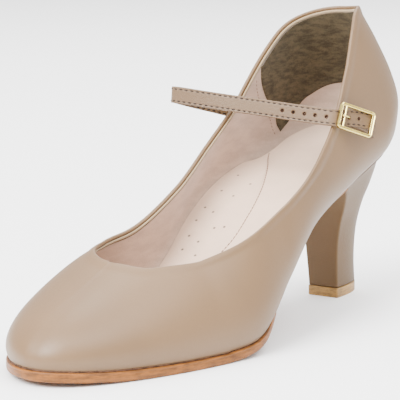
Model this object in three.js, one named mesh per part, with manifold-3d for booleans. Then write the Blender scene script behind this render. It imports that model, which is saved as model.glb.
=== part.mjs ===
// Character shoe for the left foot: a low-cut leather upper on a leather sole and a covered
// high heel, with an instep strap that a small frame buckle holds on the outer side.
// Millimetres. X runs to the toe, Y to the outer side of the foot, Z up.
// Every form starts from the feather line, the edge where the upper turns under the foot.
import * as THREE from 'three';
import Module from 'manifold-3d';

// Last: the form inside the upper
const FOOT = 220;
const BALL = 75;
const SEAT_HEIGHT = 71.5;
const TOE_SPRING = 2.2;
const INSTEP = 72;
const SWELL = 5;
const SWELL_RISE = 11;
const HEEL_ROUND = 26.5;
const TOE_ROUND = 66;
const BACK_SWEEP = 15;
const BACK_REACH = 99;

// Upper
const WALL = 2;
const MARGIN = 9;
const GAP = 0.3;

// Sole and insole
const SOLE = 3.7;
const WAIST_SOLE = 2.6;
const WELT = 1.2;
const WAIST_TUCK = 4.5;
const INSOLE = 2.4;
const ARCH_PAD = 2.6;
const INSOLE_FIT = 0.9;

// Heel
const BREAST = 48.5;
const HEEL_INSET = 0.8;
const TIP_WIDTH = 14.8;
const LIFT = 4.3;
const LIFT_EDGE = 0.2;

// Strap and tab; the strap's holes count from the prong's hole
const STRAP_WIDTH = 7;
const STRAP = 1.8;
const HOLE_PITCH = 4.9;
const HOLE = 1.5;
const HOLE_COUNT = 8;
const STRAP_END = 8.4;
const BEND_X = 78;
const BEND_Y = 45.5;
const BEND_Z = 91.2;
const TURN = 4.4;
const STRAP_TILT = 0.26;
const TAB = 1.4;
const TAB_WIDTH = 7;

// Buckle
const FRAME_LENGTH = 17.4;
const FRAME_HEIGHT = 11.2;
const FRAME = 1.4;
const FRAME_EDGE = 0.25;
const CORNER = 1.6;
const BAR = 1.5;
const LEFT_BAR = 1.1;
const SLOT = 1.3;
const HINGE_BAR = 0.9;
const PRONG = 0.7;
const PRONG_AT = -3.2;
const BUCKLE_STAND = 6;

// Sections across the last. Place as a share of FOOT, half widths and centre as shares of
// BALL, ridge height as a share of INSTEP.
const LAST = [
  { at: 0.00, outer: 0.350, inner: 0.330, centre: 0.000, ridge: 1.000, power: 3.6 },
  { at: 0.12, outer: 0.353, inner: 0.330, centre: 0.004, ridge: 0.972, power: 3.6 },
  { at: 0.24, outer: 0.357, inner: 0.326, centre: 0.003, ridge: 0.903, power: 3.5 },
  { at: 0.38, outer: 0.372, inner: 0.310, centre: 0.004, ridge: 0.806, power: 3.0 },
  { at: 0.50, outer: 0.416, inner: 0.351, centre: 0.021, ridge: 0.752, power: 2.75 },
  { at: 0.62, outer: 0.496, inner: 0.449, centre: 0.017, ridge: 0.671, power: 2.6 },
  { at: 0.72, outer: 0.488, inner: 0.512, centre: -0.035, ridge: 0.554, power: 2.5 },
  { at: 0.85, outer: 0.454, inner: 0.511, centre: -0.066, ridge: 0.426, power: 2.3 },
  { at: 1.00, outer: 0.404, inner: 0.472, centre: -0.056, ridge: 0.355, power: 2.25 },
];

// Swell of the two walls at the same places, as shares of SWELL
const SWELLS = [
  { at: 0.00, outer: 0.75, inner: 0.90 },
  { at: 0.12, outer: 0.72, inner: 0.90 },
  { at: 0.24, outer: 0.68, inner: 1.10 },
  { at: 0.38, outer: 0.80, inner: 1.55 },
  { at: 0.50, outer: 0.80, inner: 1.00 },
  { at: 0.62, outer: 0.50, inner: 0.48 },
  { at: 0.72, outer: 0.40, inner: 0.44 },
  { at: 0.85, outer: 0.40, inner: 0.50 },
  { at: 1.00, outer: 0.40, inner: 0.48 },
];

// Fall of the feather line from the seat to the tread, as a share of the seat's height
const FALL = [
  { at: 0.00, drop: 1.000 },
  { at: 0.12, drop: 0.866 },
  { at: 0.24, drop: 0.727 },
  { at: 0.38, drop: 0.527 },
  { at: 0.50, drop: 0.262 },
  { at: 0.62, drop: 0.042 },
  { at: 0.70, drop: 0.000 },
];

// Rise of the toe off the floor, as a share of TOE_SPRING
const SPRING = [
  { at: 0.79, rise: 0.00 },
  { at: 0.90, rise: 0.30 },
  { at: 1.00, rise: 1.00 },
];

// Top line. Each row joins a place on the feather line to a place on the collar; heights are
// shares of the ridge of the last there.
const COLLAR = [
  { row: 0, foot: 0.00, top: 0.000, outer: 0.762, inner: 0.762 },
  { row: 1, foot: 0.06, top: 0.080, outer: 0.840, inner: 0.765 },
  { row: 2, foot: 0.15, top: 0.200, outer: 0.668, inner: 0.710 },
  { row: 3, foot: 0.28, top: 0.314, outer: 0.470, inner: 0.586 },
  { row: 4, foot: 0.42, top: 0.400, outer: 0.432, inner: 0.548 },
  { row: 5, foot: 0.55, top: 0.504, outer: 0.557, inner: 0.627 },
  { row: 6, foot: 0.68, top: 0.608, outer: 0.722, inner: 0.735 },
  { row: 7, foot: 0.82, top: 0.704, outer: 0.812, inner: 0.880 },
  { row: 8, foot: 0.93, top: 0.774, outer: 0.925, inner: 0.985 },
  { row: 9, foot: 1.00, top: 0.790, outer: 1.000, inner: 1.000 },
];
const LAST_ROW = 9;

// Curve of the back seam: height above the seat as a share of INSTEP, lean as a share of
// BACK_SWEEP, minus being backward
const BACK = [
  { at: 0.00, lean: 0.00 },
  { at: 0.14, lean: -0.16 },
  { at: 0.28, lean: -0.38 },
  { at: 0.44, lean: -0.18 },
  { at: 0.62, lean: 0.33 },
  { at: 0.83, lean: 1.00 },
  { at: 1.04, lean: 1.20 },
];

// Edge of the sole outside the feather line (WELT) or inside it (WAIST_TUCK)
const SOLE_EDGE = [
  { at: 0.22, out: -0.35, thin: 1.0 },
  { at: 0.36, out: -1.00, thin: 1.0 },
  { at: 0.46, out: -0.80, thin: 1.0 },
  { at: 0.54, out: -0.05, thin: 0.5 },
  { at: 0.60, out: 0.75, thin: 0.1 },
  { at: 0.67, out: 1.00, thin: 0.0 },
  { at: 0.75, out: 1.00, thin: 0.0 },
  { at: 1.00, out: 1.00, thin: 0.0 },
];

// Raised arch of the insole, as a share of ARCH_PAD, on its inner edge
const ARCH = [
  { at: 0.12, lift: 0.0 },
  { at: 0.30, lift: 0.7 },
  { at: 0.44, lift: 1.0 },
  { at: 0.58, lift: 0.6 },
  { at: 0.72, lift: 0.0 },
];

// Heel from its top to the lift: front and rear as shares of BREAST, half width as a share
// of the seat's half width, blend from the seat's outline to the tip's
const HEEL = [
  { level: 0.00, front: 1.000, rear: 0.017, width: 1.000, blend: 0.0 },
  { level: 0.08, front: 0.885, rear: -0.020, width: 0.835, blend: 0.03 },
  { level: 0.16, front: 0.790, rear: -0.042, width: 0.710, blend: 0.06 },
  { level: 0.28, front: 0.700, rear: -0.040, width: 0.560, blend: 0.2 },
  { level: 0.42, front: 0.655, rear: 0.022, width: 0.430, blend: 0.5 },
  { level: 0.58, front: 0.640, rear: 0.095, width: 0.354, blend: 0.85 },
  { level: 0.74, front: 0.634, rear: 0.136, width: 0.325, blend: 1.0 },
  { level: 0.88, front: 0.626, rear: 0.142, width: 0.310, blend: 1.0 },
  { level: 1.00, front: 0.618, rear: 0.130, width: 0.303, blend: 1.0 },
];
const TIP_POWER = 2.2;
const HEEL_SHIFT = 1.4;

// A table's column as a smooth curve; flat ends start and stop level
function curve(rows, key, column, at, flat = false) {
  const last = rows.length - 1;
  const chord = (i) => (rows[i + 1][column] - rows[i][column]) / (rows[i + 1][key] - rows[i][key]);
  const slope = (i) => {
    if (i === 0) return flat ? 0 : chord(0);
    if (i === last) return flat ? 0 : chord(last - 1);
    const before = rows[i][key] - rows[i - 1][key];
    const after = rows[i + 1][key] - rows[i][key];
    return (chord(i - 1) * after + chord(i) * before) / (before + after);
  };
  let i = 0;
  while (i < last - 1 && at > rows[i + 1][key]) i += 1;
  const span = rows[i + 1][key] - rows[i][key];
  const t = THREE.MathUtils.clamp((at - rows[i][key]) / span, 0, 1);
  const a = 2 * t ** 3 - 3 * t ** 2 + 1;
  const b = t ** 3 - 2 * t ** 2 + t;
  const c = 3 * t ** 2 - 2 * t ** 3;
  const d = t ** 3 - t ** 2;
  return a * rows[i][column] + b * span * slope(i) + c * rows[i + 1][column] + d * span * slope(i + 1);
}

// Narrowing of the last to a point of its outline at the heel and the toe
function arc(into, length) {
  return into < length ? Math.sqrt(Math.max(0, 1 - (1 - into / length) ** 2)) : 1;
}

// One section of the last at share s of its length
function section(s) {
  const share = THREE.MathUtils.clamp(s, 0, 1);
  const x = share * FOOT;
  const round = arc(x, HEEL_ROUND) * arc(FOOT - x, TOE_ROUND);
  return {
    outer: BALL * curve(LAST, 'at', 'outer', share) * round,
    inner: BALL * curve(LAST, 'at', 'inner', share) * round,
    centre: BALL * curve(LAST, 'at', 'centre', share),
    ridge: INSTEP * curve(LAST, 'at', 'ridge', share) * arc(FOOT - x, 0.9 * TOE_ROUND),
    power: curve(LAST, 'at', 'power', share),
    swellOut: SWELL * curve(SWELLS, 'at', 'outer', share),
    swellIn: SWELL * curve(SWELLS, 'at', 'inner', share),
  };
}

// Height of the feather line over the floor
const FEATHER = SOLE + GAP;
function featherHeight(x) {
  const s = x / FOOT;
  const fall = s < 0.7 ? curve(FALL, 'at', 'drop', s) : 0;
  const spring = s > 0.79 ? curve(SPRING, 'at', 'rise', s) : 0;
  return FEATHER + (SEAT_HEIGHT - FEATHER) * Math.max(0, fall) + TOE_SPRING * Math.max(0, spring);
}

// Point of the feather line in plan; side is 1 on the outer side and -1 on the inner side
function featherPlan(s, side) {
  const part = section(s);
  const width = side > 0 ? part.outer : part.inner;
  return new THREE.Vector2(THREE.MathUtils.clamp(s, 0, 1) * FOOT, part.centre + side * width);
}

// Outward direction of the feather line in plan
function outward(s, side) {
  const step = 0.001;
  const share = THREE.MathUtils.clamp(s, 0.0001, 0.9999);
  const a = featherPlan(share - step, side);
  const b = featherPlan(share + step, side);
  return new THREE.Vector2(-(b.y - a.y), b.x - a.x).multiplyScalar(side).normalize();
}

// Point of the upper's outer face on a line from the feather (v = 0) to the collar (v = 1)
function outerFace(row, side, v) {
  const foot = curve(COLLAR, 'row', 'foot', row, true);
  const top = curve(COLLAR, 'row', 'top', row, true);
  const height = Math.min(1, curve(COLLAR, 'row', side > 0 ? 'outer' : 'inner', row, true));
  const start = section(foot);
  const end = section(top);
  const reach = Math.max(0, 1 - height ** 2) ** (1 / end.power);
  const along = v * v;
  const s = foot + (top - foot) * along;
  const here = section(s);
  const widthAt = (part) => (side > 0 ? part.outer : part.inner);
  const y0 = start.centre + side * widthAt(start);
  const y1 = end.centre + side * widthAt(end) * reach;
  const y = y0 + (y1 - y0) * along;
  const narrow = widthAt(here) < 0.0001;
  const across = narrow ? 1 + (reach - 1) * along : (side * (y - here.centre)) / widthAt(here);
  const eta = THREE.MathUtils.clamp(Math.abs(across), 0, 1);
  const rise = here.ridge * Math.sqrt(Math.max(0, 1 - eta ** here.power));
  const hump = (rise / SWELL_RISE) * Math.exp(1 - rise / SWELL_RISE);
  const bulge = (side > 0 ? start.swellOut : start.swellIn) * hump;
  const push = outward(foot, side);
  const fade = Math.max(0, 1 - (Math.max(0, s * FOOT) / BACK_REACH) ** 1.5);
  const lean = BACK_SWEEP * curve(BACK, 'at', 'lean', rise / INSTEP) * fade;
  return new THREE.Vector3(
    s * FOOT + push.x * bulge + lean,
    y + push.y * bulge,
    featherHeight(s * FOOT) + rise,
  );
}

// Outward normal of that face
function outerNormal(row, side, v) {
  const step = 0.02;
  const rowA = Math.max(0, row - step);
  const rowB = Math.min(LAST_ROW, row + step);
  const vA = Math.max(0, v - step);
  const vB = Math.min(1, v + step);
  const alongRow = outerFace(rowB, side, v).sub(outerFace(rowA, side, v));
  const alongV = outerFace(row, side, vB).sub(outerFace(row, side, vA));
  return alongV.cross(alongRow).multiplyScalar(side).normalize();
}

// A closed solid from points and the faces between them
class Skin {
  constructor() {
    this.points = [];
    this.faces = [];
  }

  add(point) {
    this.points.push(point.x, point.y, point.z);
    return this.points.length / 3 - 1;
  }

  ring(points) {
    return points.map((point) => this.add(point));
  }

  face(a, b, c) {
    if (a !== b && b !== c && a !== c) this.faces.push(a, b, c);
  }

  quad(a, b, c, d) {
    this.face(a, b, c);
    this.face(a, c, d);
  }

  // Sides between two rings of as many points; closed rings join their ends
  band(lower, upper, closed = true) {
    const count = closed ? lower.length : lower.length - 1;
    for (let i = 0; i < count; i += 1) {
      const next = (i + 1) % lower.length;
      this.quad(lower[i], lower[next], upper[next], upper[i]);
    }
  }

  // Flat end closed round its first point
  fan(ring) {
    for (let i = 1; i < ring.length - 1; i += 1) this.face(ring[0], ring[i], ring[i + 1]);
  }

  geometry() {
    const shape = new THREE.BufferGeometry();
    shape.setAttribute('position', new THREE.Float32BufferAttribute(this.points, 3));
    shape.setIndex(this.faces);
    shape.computeVertexNormals();
    return shape;
  }
}

function finish(name, geometry, color, roughness, metalness = 0) {
  const material = new THREE.MeshStandardMaterial({ color, roughness, metalness });
  const mesh = new THREE.Mesh(geometry, material);
  mesh.name = name;
  return mesh;
}

const LEATHER = 0xb9a086;
const LINING = 0xd8cbc2;
const SOLE_LEATHER = 0xb97f57;
const LIFT_COLOUR = 0xc49a70;
const GOLD = 0xd9cfa0;

// Upper: one shell with a turned-in margin under the foot and a round collar edge
const SIDE_STEPS = 45;
const WALL_STEPS = 12;
function upperGeometry() {
  const stations = [];
  for (let i = 0; i < SIDE_STEPS; i += 1) stations.push({ row: (LAST_ROW * i) / SIDE_STEPS, side: 1 });
  for (let i = SIDE_STEPS; i > 0; i -= 1) stations.push({ row: (LAST_ROW * i) / SIDE_STEPS, side: -1 });
  const count = stations.length;
  const outer = stations.map(({ row, side }) => {
    const line = [];
    for (let j = 0; j <= WALL_STEPS; j += 1) line.push(outerFace(row, side, j / WALL_STEPS));
    return line;
  });
  const skin = new Skin();
  const rings = stations.map(({ row, side }, i) => {
    const before = outer[(i + count - 1) % count];
    const after = outer[(i + 1) % count];
    const line = outer[i];
    const inner = line.map((point, j) => {
      const up = line[Math.min(WALL_STEPS, j + 1)].clone().sub(line[Math.max(0, j - 1)]);
      const round = after[j].clone().sub(before[j]);
      const normal = up.cross(round).normalize();
      return point.clone().addScaledVector(normal, -WALL);
    });
    const foot = curve(COLLAR, 'row', 'foot', row, true);
    const push = outward(foot, side);
    const under = (inset, lift) => {
      const x = line[0].x - push.x * inset;
      return new THREE.Vector3(x, line[0].y - push.y * inset, featherHeight(x) + lift);
    };
    const edge = [];
    const middle = line[WALL_STEPS].clone().add(inner[WALL_STEPS]).multiplyScalar(0.5);
    const half = line[WALL_STEPS].clone().sub(middle);
    const up = line[WALL_STEPS].clone().sub(line[WALL_STEPS - 1]).normalize().multiplyScalar(WALL / 2);
    for (const turn of [45, 90, 135]) {
      const angle = THREE.MathUtils.degToRad(turn);
      edge.push(middle.clone().addScaledVector(half, Math.cos(angle)).addScaledVector(up, Math.sin(angle)));
    }
    const profile = [...line, ...edge, ...inner.slice(1).reverse()];
    profile.push(under(WALL, WALL), under(MARGIN, WALL), under(MARGIN, 0));
    return skin.ring(profile);
  });
  rings.forEach((ring, i) => skin.band(ring, rings[(i + 1) % count]));
  return skin.geometry();
}

// Plate between an outer and an inner edge, with a top and a bottom height at each point.
// Rows that start or end in one point close to it.
function plateGeometry(rows, across, top, bottom) {
  const skin = new Skin();
  const grid = (height) => rows.map(({ outer, inner }) => {
    const points = [];
    const single = outer.distanceTo(inner) < 0.001;
    for (let j = 0; j <= across; j += 1) {
      const share = j / across;
      const x = outer.x + (inner.x - outer.x) * share;
      const y = outer.y + (inner.y - outer.y) * share;
      if (single && j > 0) points.push(points[0]);
      else points.push(skin.add(new THREE.Vector3(x, y, height(x, share))));
    }
    return points;
  });
  const upper = grid(top);
  const lower = grid(bottom);
  for (let i = 0; i + 1 < rows.length; i += 1) {
    for (let j = 0; j < across; j += 1) {
      skin.quad(upper[i][j], upper[i][j + 1], upper[i + 1][j + 1], upper[i + 1][j]);
      skin.quad(lower[i][j + 1], lower[i][j], lower[i + 1][j], lower[i + 1][j + 1]);
    }
    skin.quad(lower[i + 1][0], lower[i][0], upper[i][0], upper[i + 1][0]);
    skin.quad(lower[i][across], lower[i + 1][across], upper[i + 1][across], upper[i][across]);
  }
  const close = (low, high) => {
    for (let j = 0; j < across; j += 1) {
      if (low[j] !== low[j + 1]) skin.quad(low[j], low[j + 1], high[j + 1], high[j]);
    }
  };
  close(lower[0], upper[0]);
  close([...lower[rows.length - 1]].reverse(), [...upper[rows.length - 1]].reverse());
  return skin.geometry();
}

// Rows of a plate that follows the feather line, moved outward by a distance
function featherRows(from, count, offset) {
  const rows = [];
  for (let i = 0; i <= count; i += 1) {
    const quarter = (0.5 * Math.PI * i) / count;
    const turn = from > 0 ? Math.sin(quarter) : Math.sin(quarter) ** 2;
    const s = from + (1 - from) * turn;
    const edge = (side) => featherPlan(s, side).addScaledVector(outward(s, side), offset(s));
    const row = { outer: edge(1), inner: edge(-1) };
    if (i === count || (i === 0 && from === 0)) {
      row.outer.add(row.inner).multiplyScalar(0.5);
      row.inner.copy(row.outer);
    }
    rows.push(row);
  }
  if (from > 0) {
    rows[0].outer.x = from * FOOT;
    rows[0].inner.x = from * FOOT;
  }
  return rows;
}

// Insole on the upper's margin, raised along the arch
function insoleGeometry() {
  const bed = WALL + GAP;
  const rows = featherRows(0, 54, () => -(WALL + INSOLE_FIT));
  const top = (x, share) => {
    const arch = ARCH_PAD * curve(ARCH, 'at', 'lift', x / FOOT) * share ** 2;
    return featherHeight(x) + bed + INSOLE + Math.max(0, arch);
  };
  return plateGeometry(rows, 6, top, (x) => featherHeight(x) + bed);
}

// Outsole from the heel's breast to the toe, thin and tucked in at the waist
function outsoleGeometry() {
  const out = (s) => {
    const share = curve(SOLE_EDGE, 'at', 'out', s);
    return share > 0 ? share * WELT : share * WAIST_TUCK;
  };
  const rows = featherRows((BREAST + GAP) / FOOT, 50, out);
  const bottom = (x) => {
    const thin = curve(SOLE_EDGE, 'at', 'thin', x / FOOT);
    return featherHeight(x) - GAP - (SOLE + (WAIST_SOLE - SOLE) * THREE.MathUtils.clamp(thin, 0, 1));
  };
  return plateGeometry(rows, 2, (x) => featherHeight(x) - GAP, bottom);
}

// Half outline of the heel at a level: points from the front corner to the rear
const HEEL_STEPS = 13;
function heelHalf(level, grow = 0) {
  const at = (column) => curve(HEEL, 'level', column, level);
  const seat = section(BREAST / FOOT);
  const seatHalf = (seat.outer + seat.inner) / 2 - HEEL_INSET;
  const tipShare = HEEL[HEEL.length - 1].width;
  const narrowed = (at('width') - tipShare) / (1 - tipShare);
  const half = TIP_WIDTH / 2 + (seatHalf - TIP_WIDTH / 2) * narrowed + grow;
  const front = BREAST * at('front') + grow;
  const rear = BREAST * at('rear') - grow;
  const blend = THREE.MathUtils.clamp(at('blend'), 0, 1);
  const points = [];
  for (let i = 0; i <= HEEL_STEPS; i += 1) {
    const back = Math.sin((0.5 * Math.PI * i) / HEEL_STEPS) ** (2 / TIP_POWER);
    const s = (BREAST * (1 - back)) / FOOT;
    const seatPart = section(s);
    const seatShape = (seatPart.outer + seatPart.inner) / (seat.outer + seat.inner);
    const tipShape = Math.max(0, 1 - back ** TIP_POWER) ** (1 / TIP_POWER);
    const centre = seatPart.centre + (HEEL_SHIFT - seatPart.centre) * level;
    const y = half * (seatShape + (tipShape - seatShape) * blend);
    points.push({ x: front + (rear - front) * back, y, centre });
  }
  return points;
}

function heelRing(skin, level, grow, height) {
  const half = heelHalf(level, grow);
  const side = (sign) => half.map(({ x, y, centre }, i) => {
    return new THREE.Vector3(x, centre + sign * y, height(i));
  });
  const outer = side(1);
  const inner = side(-1).slice(0, -1).reverse();
  return skin.ring([...outer, ...inner]);
}

// A ring's end closed by steps between its outer and inner half
function ladder(skin, ring, up) {
  const count = ring.length;
  for (let i = 0; i < HEEL_STEPS; i += 1) {
    const corners = [ring[i], ring[i + 1], ring[count - 2 - i], ring[count - 1 - i]];
    if (up) skin.quad(...corners);
    else skin.quad(...corners.reverse());
  }
}

function heelGeometry() {
  const skin = new Skin();
  const seat = heelHalf(0);
  const levels = [0, 0.04, 0.08, 0.12, 0.17, 0.23, 0.3, 0.38, 0.48, 0.6, 0.74, 0.88, 1];
  const rings = levels.map((level) => heelRing(skin, level, 0, (i) => {
    const top = featherHeight(seat[i].x) - GAP;
    return top + (LIFT + GAP - top) * level;
  }));
  ladder(skin, rings[0], true);
  for (let i = 0; i + 1 < rings.length; i += 1) skin.band(rings[i + 1], rings[i]);
  ladder(skin, rings[rings.length - 1], false);
  return skin.geometry();
}

function liftGeometry() {
  const skin = new Skin();
  const top = heelRing(skin, 1, LIFT_EDGE, () => LIFT);
  const bottom = heelRing(skin, 1, LIFT_EDGE, () => 0);
  ladder(skin, top, true);
  skin.band(bottom, top);
  ladder(skin, bottom, false);
  return skin.geometry();
}

// Place on the upper's outer face, moved off it by a distance
function offWall(row, side, v, distance) {
  return outerFace(row, side, v).addScaledVector(outerNormal(row, side, v), distance);
}

// Buckle's own axes: along the strap to its end, up across the strap, and out of the shoe
const ALONG = new THREE.Vector3(-0.83, 0.45, -0.33).normalize();
const UP = new THREE.Vector3(-0.36, 0, 0.93);
UP.addScaledVector(ALONG, -UP.dot(ALONG)).normalize();
const OUT = ALONG.clone().cross(UP).normalize();
const buckleCentre = offWall(2.595, 1, 0.84, BUCKLE_STAND);
const buckleTurn = new THREE.Matrix4().makeBasis(ALONG, UP, OUT);

function atBuckle(a, b, c) {
  return buckleCentre.clone().addScaledVector(ALONG, a).addScaledVector(UP, b).addScaledVector(OUT, c);
}

// Direction across a band on the wall, for a path towards another point
function acrossWall(row, side, v, towards) {
  const run = towards.clone().sub(outerFace(row, side, v));
  const across = outerNormal(row, side, v).cross(run).normalize();
  return across.z < 0 ? across.negate() : across;
}

// A flat band swept along points, each with the direction across its width
function bandGeometry(points, ups, width, thickness, steps) {
  const path = new THREE.CatmullRomCurve3(points, false, 'centripetal');
  const turn = new THREE.CatmullRomCurve3(ups, false, 'catmullrom', 0.5);
  const skin = new Skin();
  const corner = thickness * 0.3;
  const w = width / 2;
  const h = thickness / 2;
  const outline = [
    [w, h - corner], [w - corner, h], [corner - w, h], [-w, h - corner],
    [-w, corner - h], [corner - w, -h], [w - corner, -h], [w, corner - h],
  ];
  const rings = [];
  for (let i = 0; i <= steps; i += 1) {
    const t = path.getUtoTmapping(i / steps);
    const centre = path.getPoint(t);
    const run = path.getTangent(t);
    const up = turn.getPoint(t);
    up.addScaledVector(run, -up.dot(run)).normalize();
    const face = run.clone().cross(up);
    const edge = outline.map(([a, b]) => {
      return centre.clone().addScaledVector(up, a).addScaledVector(face, b);
    });
    rings.push(skin.ring(edge));
  }
  skin.fan([...rings[0]].reverse());
  for (let i = 0; i < steps; i += 1) skin.band(rings[i], rings[i + 1]);
  skin.fan(rings[steps]);
  return { geometry: skin.geometry(), path };
}

const wasm = await Module();
wasm.setup();

// Solid of a closed mesh for the cutting of holes
function solid(geometry) {
  const position = geometry.getAttribute('position');
  const seen = new Map();
  const vertices = [];
  const place = [];
  for (let i = 0; i < position.count; i += 1) {
    const point = [position.getX(i), position.getY(i), position.getZ(i)];
    const key = point.map((value) => value.toFixed(4)).join(' ');
    if (!seen.has(key)) {
      seen.set(key, vertices.length / 3);
      vertices.push(...point);
    }
    place.push(seen.get(key));
  }
  const index = geometry.index ? [...geometry.index.array] : place.map((_, i) => i);
  const faces = [];
  for (let i = 0; i < index.length; i += 3) {
    const [a, b, c] = [place[index[i]], place[index[i + 1]], place[index[i + 2]]];
    if (a !== b && b !== c && a !== c) faces.push(a, b, c);
  }
  return new wasm.Manifold(new wasm.Mesh({
    numProp: 3,
    vertProperties: Float32Array.from(vertices),
    triVerts: Uint32Array.from(faces),
  }));
}

function fromSolid(body) {
  const { numProp, vertProperties, triVerts } = body.getMesh();
  const points = [];
  for (let i = 0; i < vertProperties.length; i += numProp) points.push(...vertProperties.slice(i, i + 3));
  const geometry = new THREE.BufferGeometry();
  geometry.setAttribute('position', new THREE.Float32BufferAttribute(points, 3));
  geometry.setIndex([...triVerts]);
  geometry.computeVertexNormals();
  return geometry;
}

// Strap: from its seam on the inner side, out round a bend and back across the foot,
// under the buckle to its free end
const STRAP_DEPTH = -(FRAME / 2 + GAP + STRAP / 2);
function strapGeometry() {
  const seam = GAP + STRAP / 2;
  const places = [[2.2, 0.42, 1], [2.4, 0.55, 1], [2.58, 0.66, 1.7]];
  const sewn = places.map(([row, v, off]) => offWall(row, -1, v, off * seam));
  const bend = (x, y, z) => new THREE.Vector3(BEND_X + x * TURN, -BEND_Y + y * TURN, BEND_Z + z * TURN);
  const away = (share) => sewn[2].clone().lerp(bend(0, 0, 0), share);
  const left = -FRAME_LENGTH / 2;
  const inBuckle = (a, depth) => atBuckle(a, Math.min(2, STRAP_TILT * (a - PRONG_AT)), STRAP_DEPTH - depth);
  const corner = inBuckle(left - 2.4, 0.4);
  const across = (share) => bend(0, 0, 0).lerp(corner, share);
  const points = [
    ...sewn,
    away(0.35),
    away(0.7),
    bend(-0.5, 0.18, -0.1),
    bend(0.05, 0.32, 0),
    bend(0.18, 1, 0),
    across(0.3),
    across(0.6),
    across(0.84),
    inBuckle(left - 1.2, 0.2),
    inBuckle(left + 1.5, 0),
    inBuckle(0, 0),
    inBuckle(STRAP_END, 0),
  ];
  const upright = new THREE.Vector3(-0.05, 0.04, 1);
  const leaning = new THREE.Vector3(-0.2, 0, 0.98);
  const ups = [
    ...places.map(([row, v], i) => acrossWall(row, -1, v, points[i + 1])),
    upright, upright, upright, upright, upright,
    leaning, leaning, leaning,
    UP, UP, UP, UP,
  ];
  const band = bandGeometry(points, ups.map((up) => up.clone()), STRAP_WIDTH, STRAP, 64);
  let body = solid(band.geometry);
  const length = band.path.getLength();
  const lastHole = STRAP_END - (PRONG_AT + HOLE_PITCH);
  for (let i = 0; i < HOLE_COUNT; i += 1) {
    const t = band.path.getUtoTmapping(1 - (lastHole + i * HOLE_PITCH) / length);
    const run = band.path.getTangent(t);
    const drill = new THREE.CylinderGeometry(HOLE / 2, HOLE / 2, 3 * STRAP, 10);
    const share = 1 - (lastHole + i * HOLE_PITCH) / length;
    const face = share > 0.8 ? OUT.clone() : new THREE.Vector3(0.94, 0.3, 0.2);
    face.addScaledVector(run, -face.dot(run)).normalize();
    drill.applyQuaternion(new THREE.Quaternion().setFromUnitVectors(new THREE.Vector3(0, 1, 0), face));
    const centre = band.path.getPoint(t);
    drill.translate(centre.x, centre.y, centre.z);
    body = body.subtract(solid(drill));
  }
  return fromSolid(body);
}

// Tab: a short band on the outer wall behind the strap's end, which carries the buckle
function tabGeometry() {
  const places = [[2.2, 0.4], [2.32, 0.54], [2.44, 0.7], [2.55, 0.86]];
  const points = places.map(([row, v]) => offWall(row, 1, v, GAP + TAB / 2));
  const ups = places.map(([row, v], i) => {
    const last = i + 1 === points.length;
    const next = last ? points[i].clone().multiplyScalar(2).sub(points[i - 1]) : points[i + 1];
    return acrossWall(row, 1, v, next);
  });
  return bandGeometry(points, ups, TAB_WIDTH, TAB, 10).geometry;
}

// Buckle frame: a rectangle of flat bars with a slot and a hinge bar at its front end
function rounded(left, right, low, high, radius, hole) {
  const path = hole ? new THREE.Path() : new THREE.Shape();
  path.moveTo(left + radius, low);
  path.lineTo(right - radius, low);
  path.absarc(right - radius, low + radius, radius, -Math.PI / 2, 0);
  path.lineTo(right, high - radius);
  path.absarc(right - radius, high - radius, radius, 0, Math.PI / 2);
  path.lineTo(left + radius, high);
  path.absarc(left + radius, high - radius, radius, Math.PI / 2, Math.PI);
  path.lineTo(left, low + radius);
  path.absarc(left + radius, low + radius, radius, Math.PI, 1.5 * Math.PI);
  return path;
}

function frameGeometry() {
  const end = FRAME_LENGTH / 2;
  const high = FRAME_HEIGHT / 2;
  const shape = rounded(-end, end, -high, high, CORNER, false);
  const slotFrom = -end + LEFT_BAR;
  const window = slotFrom + SLOT + HINGE_BAR;
  shape.holes.push(rounded(slotFrom, slotFrom + SLOT, BAR - high, high - BAR, 0.3, true));
  shape.holes.push(rounded(window, end - BAR, BAR - high, high - BAR, 0.5, true));
  const geometry = new THREE.ExtrudeGeometry(shape, {
    depth: FRAME - 2 * FRAME_EDGE,
    bevelEnabled: true,
    bevelThickness: FRAME_EDGE,
    bevelSize: FRAME_EDGE,
    bevelOffset: -FRAME_EDGE,
    bevelSegments: 1,
    curveSegments: 3,
  });
  geometry.translate(0, 0, FRAME_EDGE - FRAME / 2);
  return geometry;
}

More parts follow.
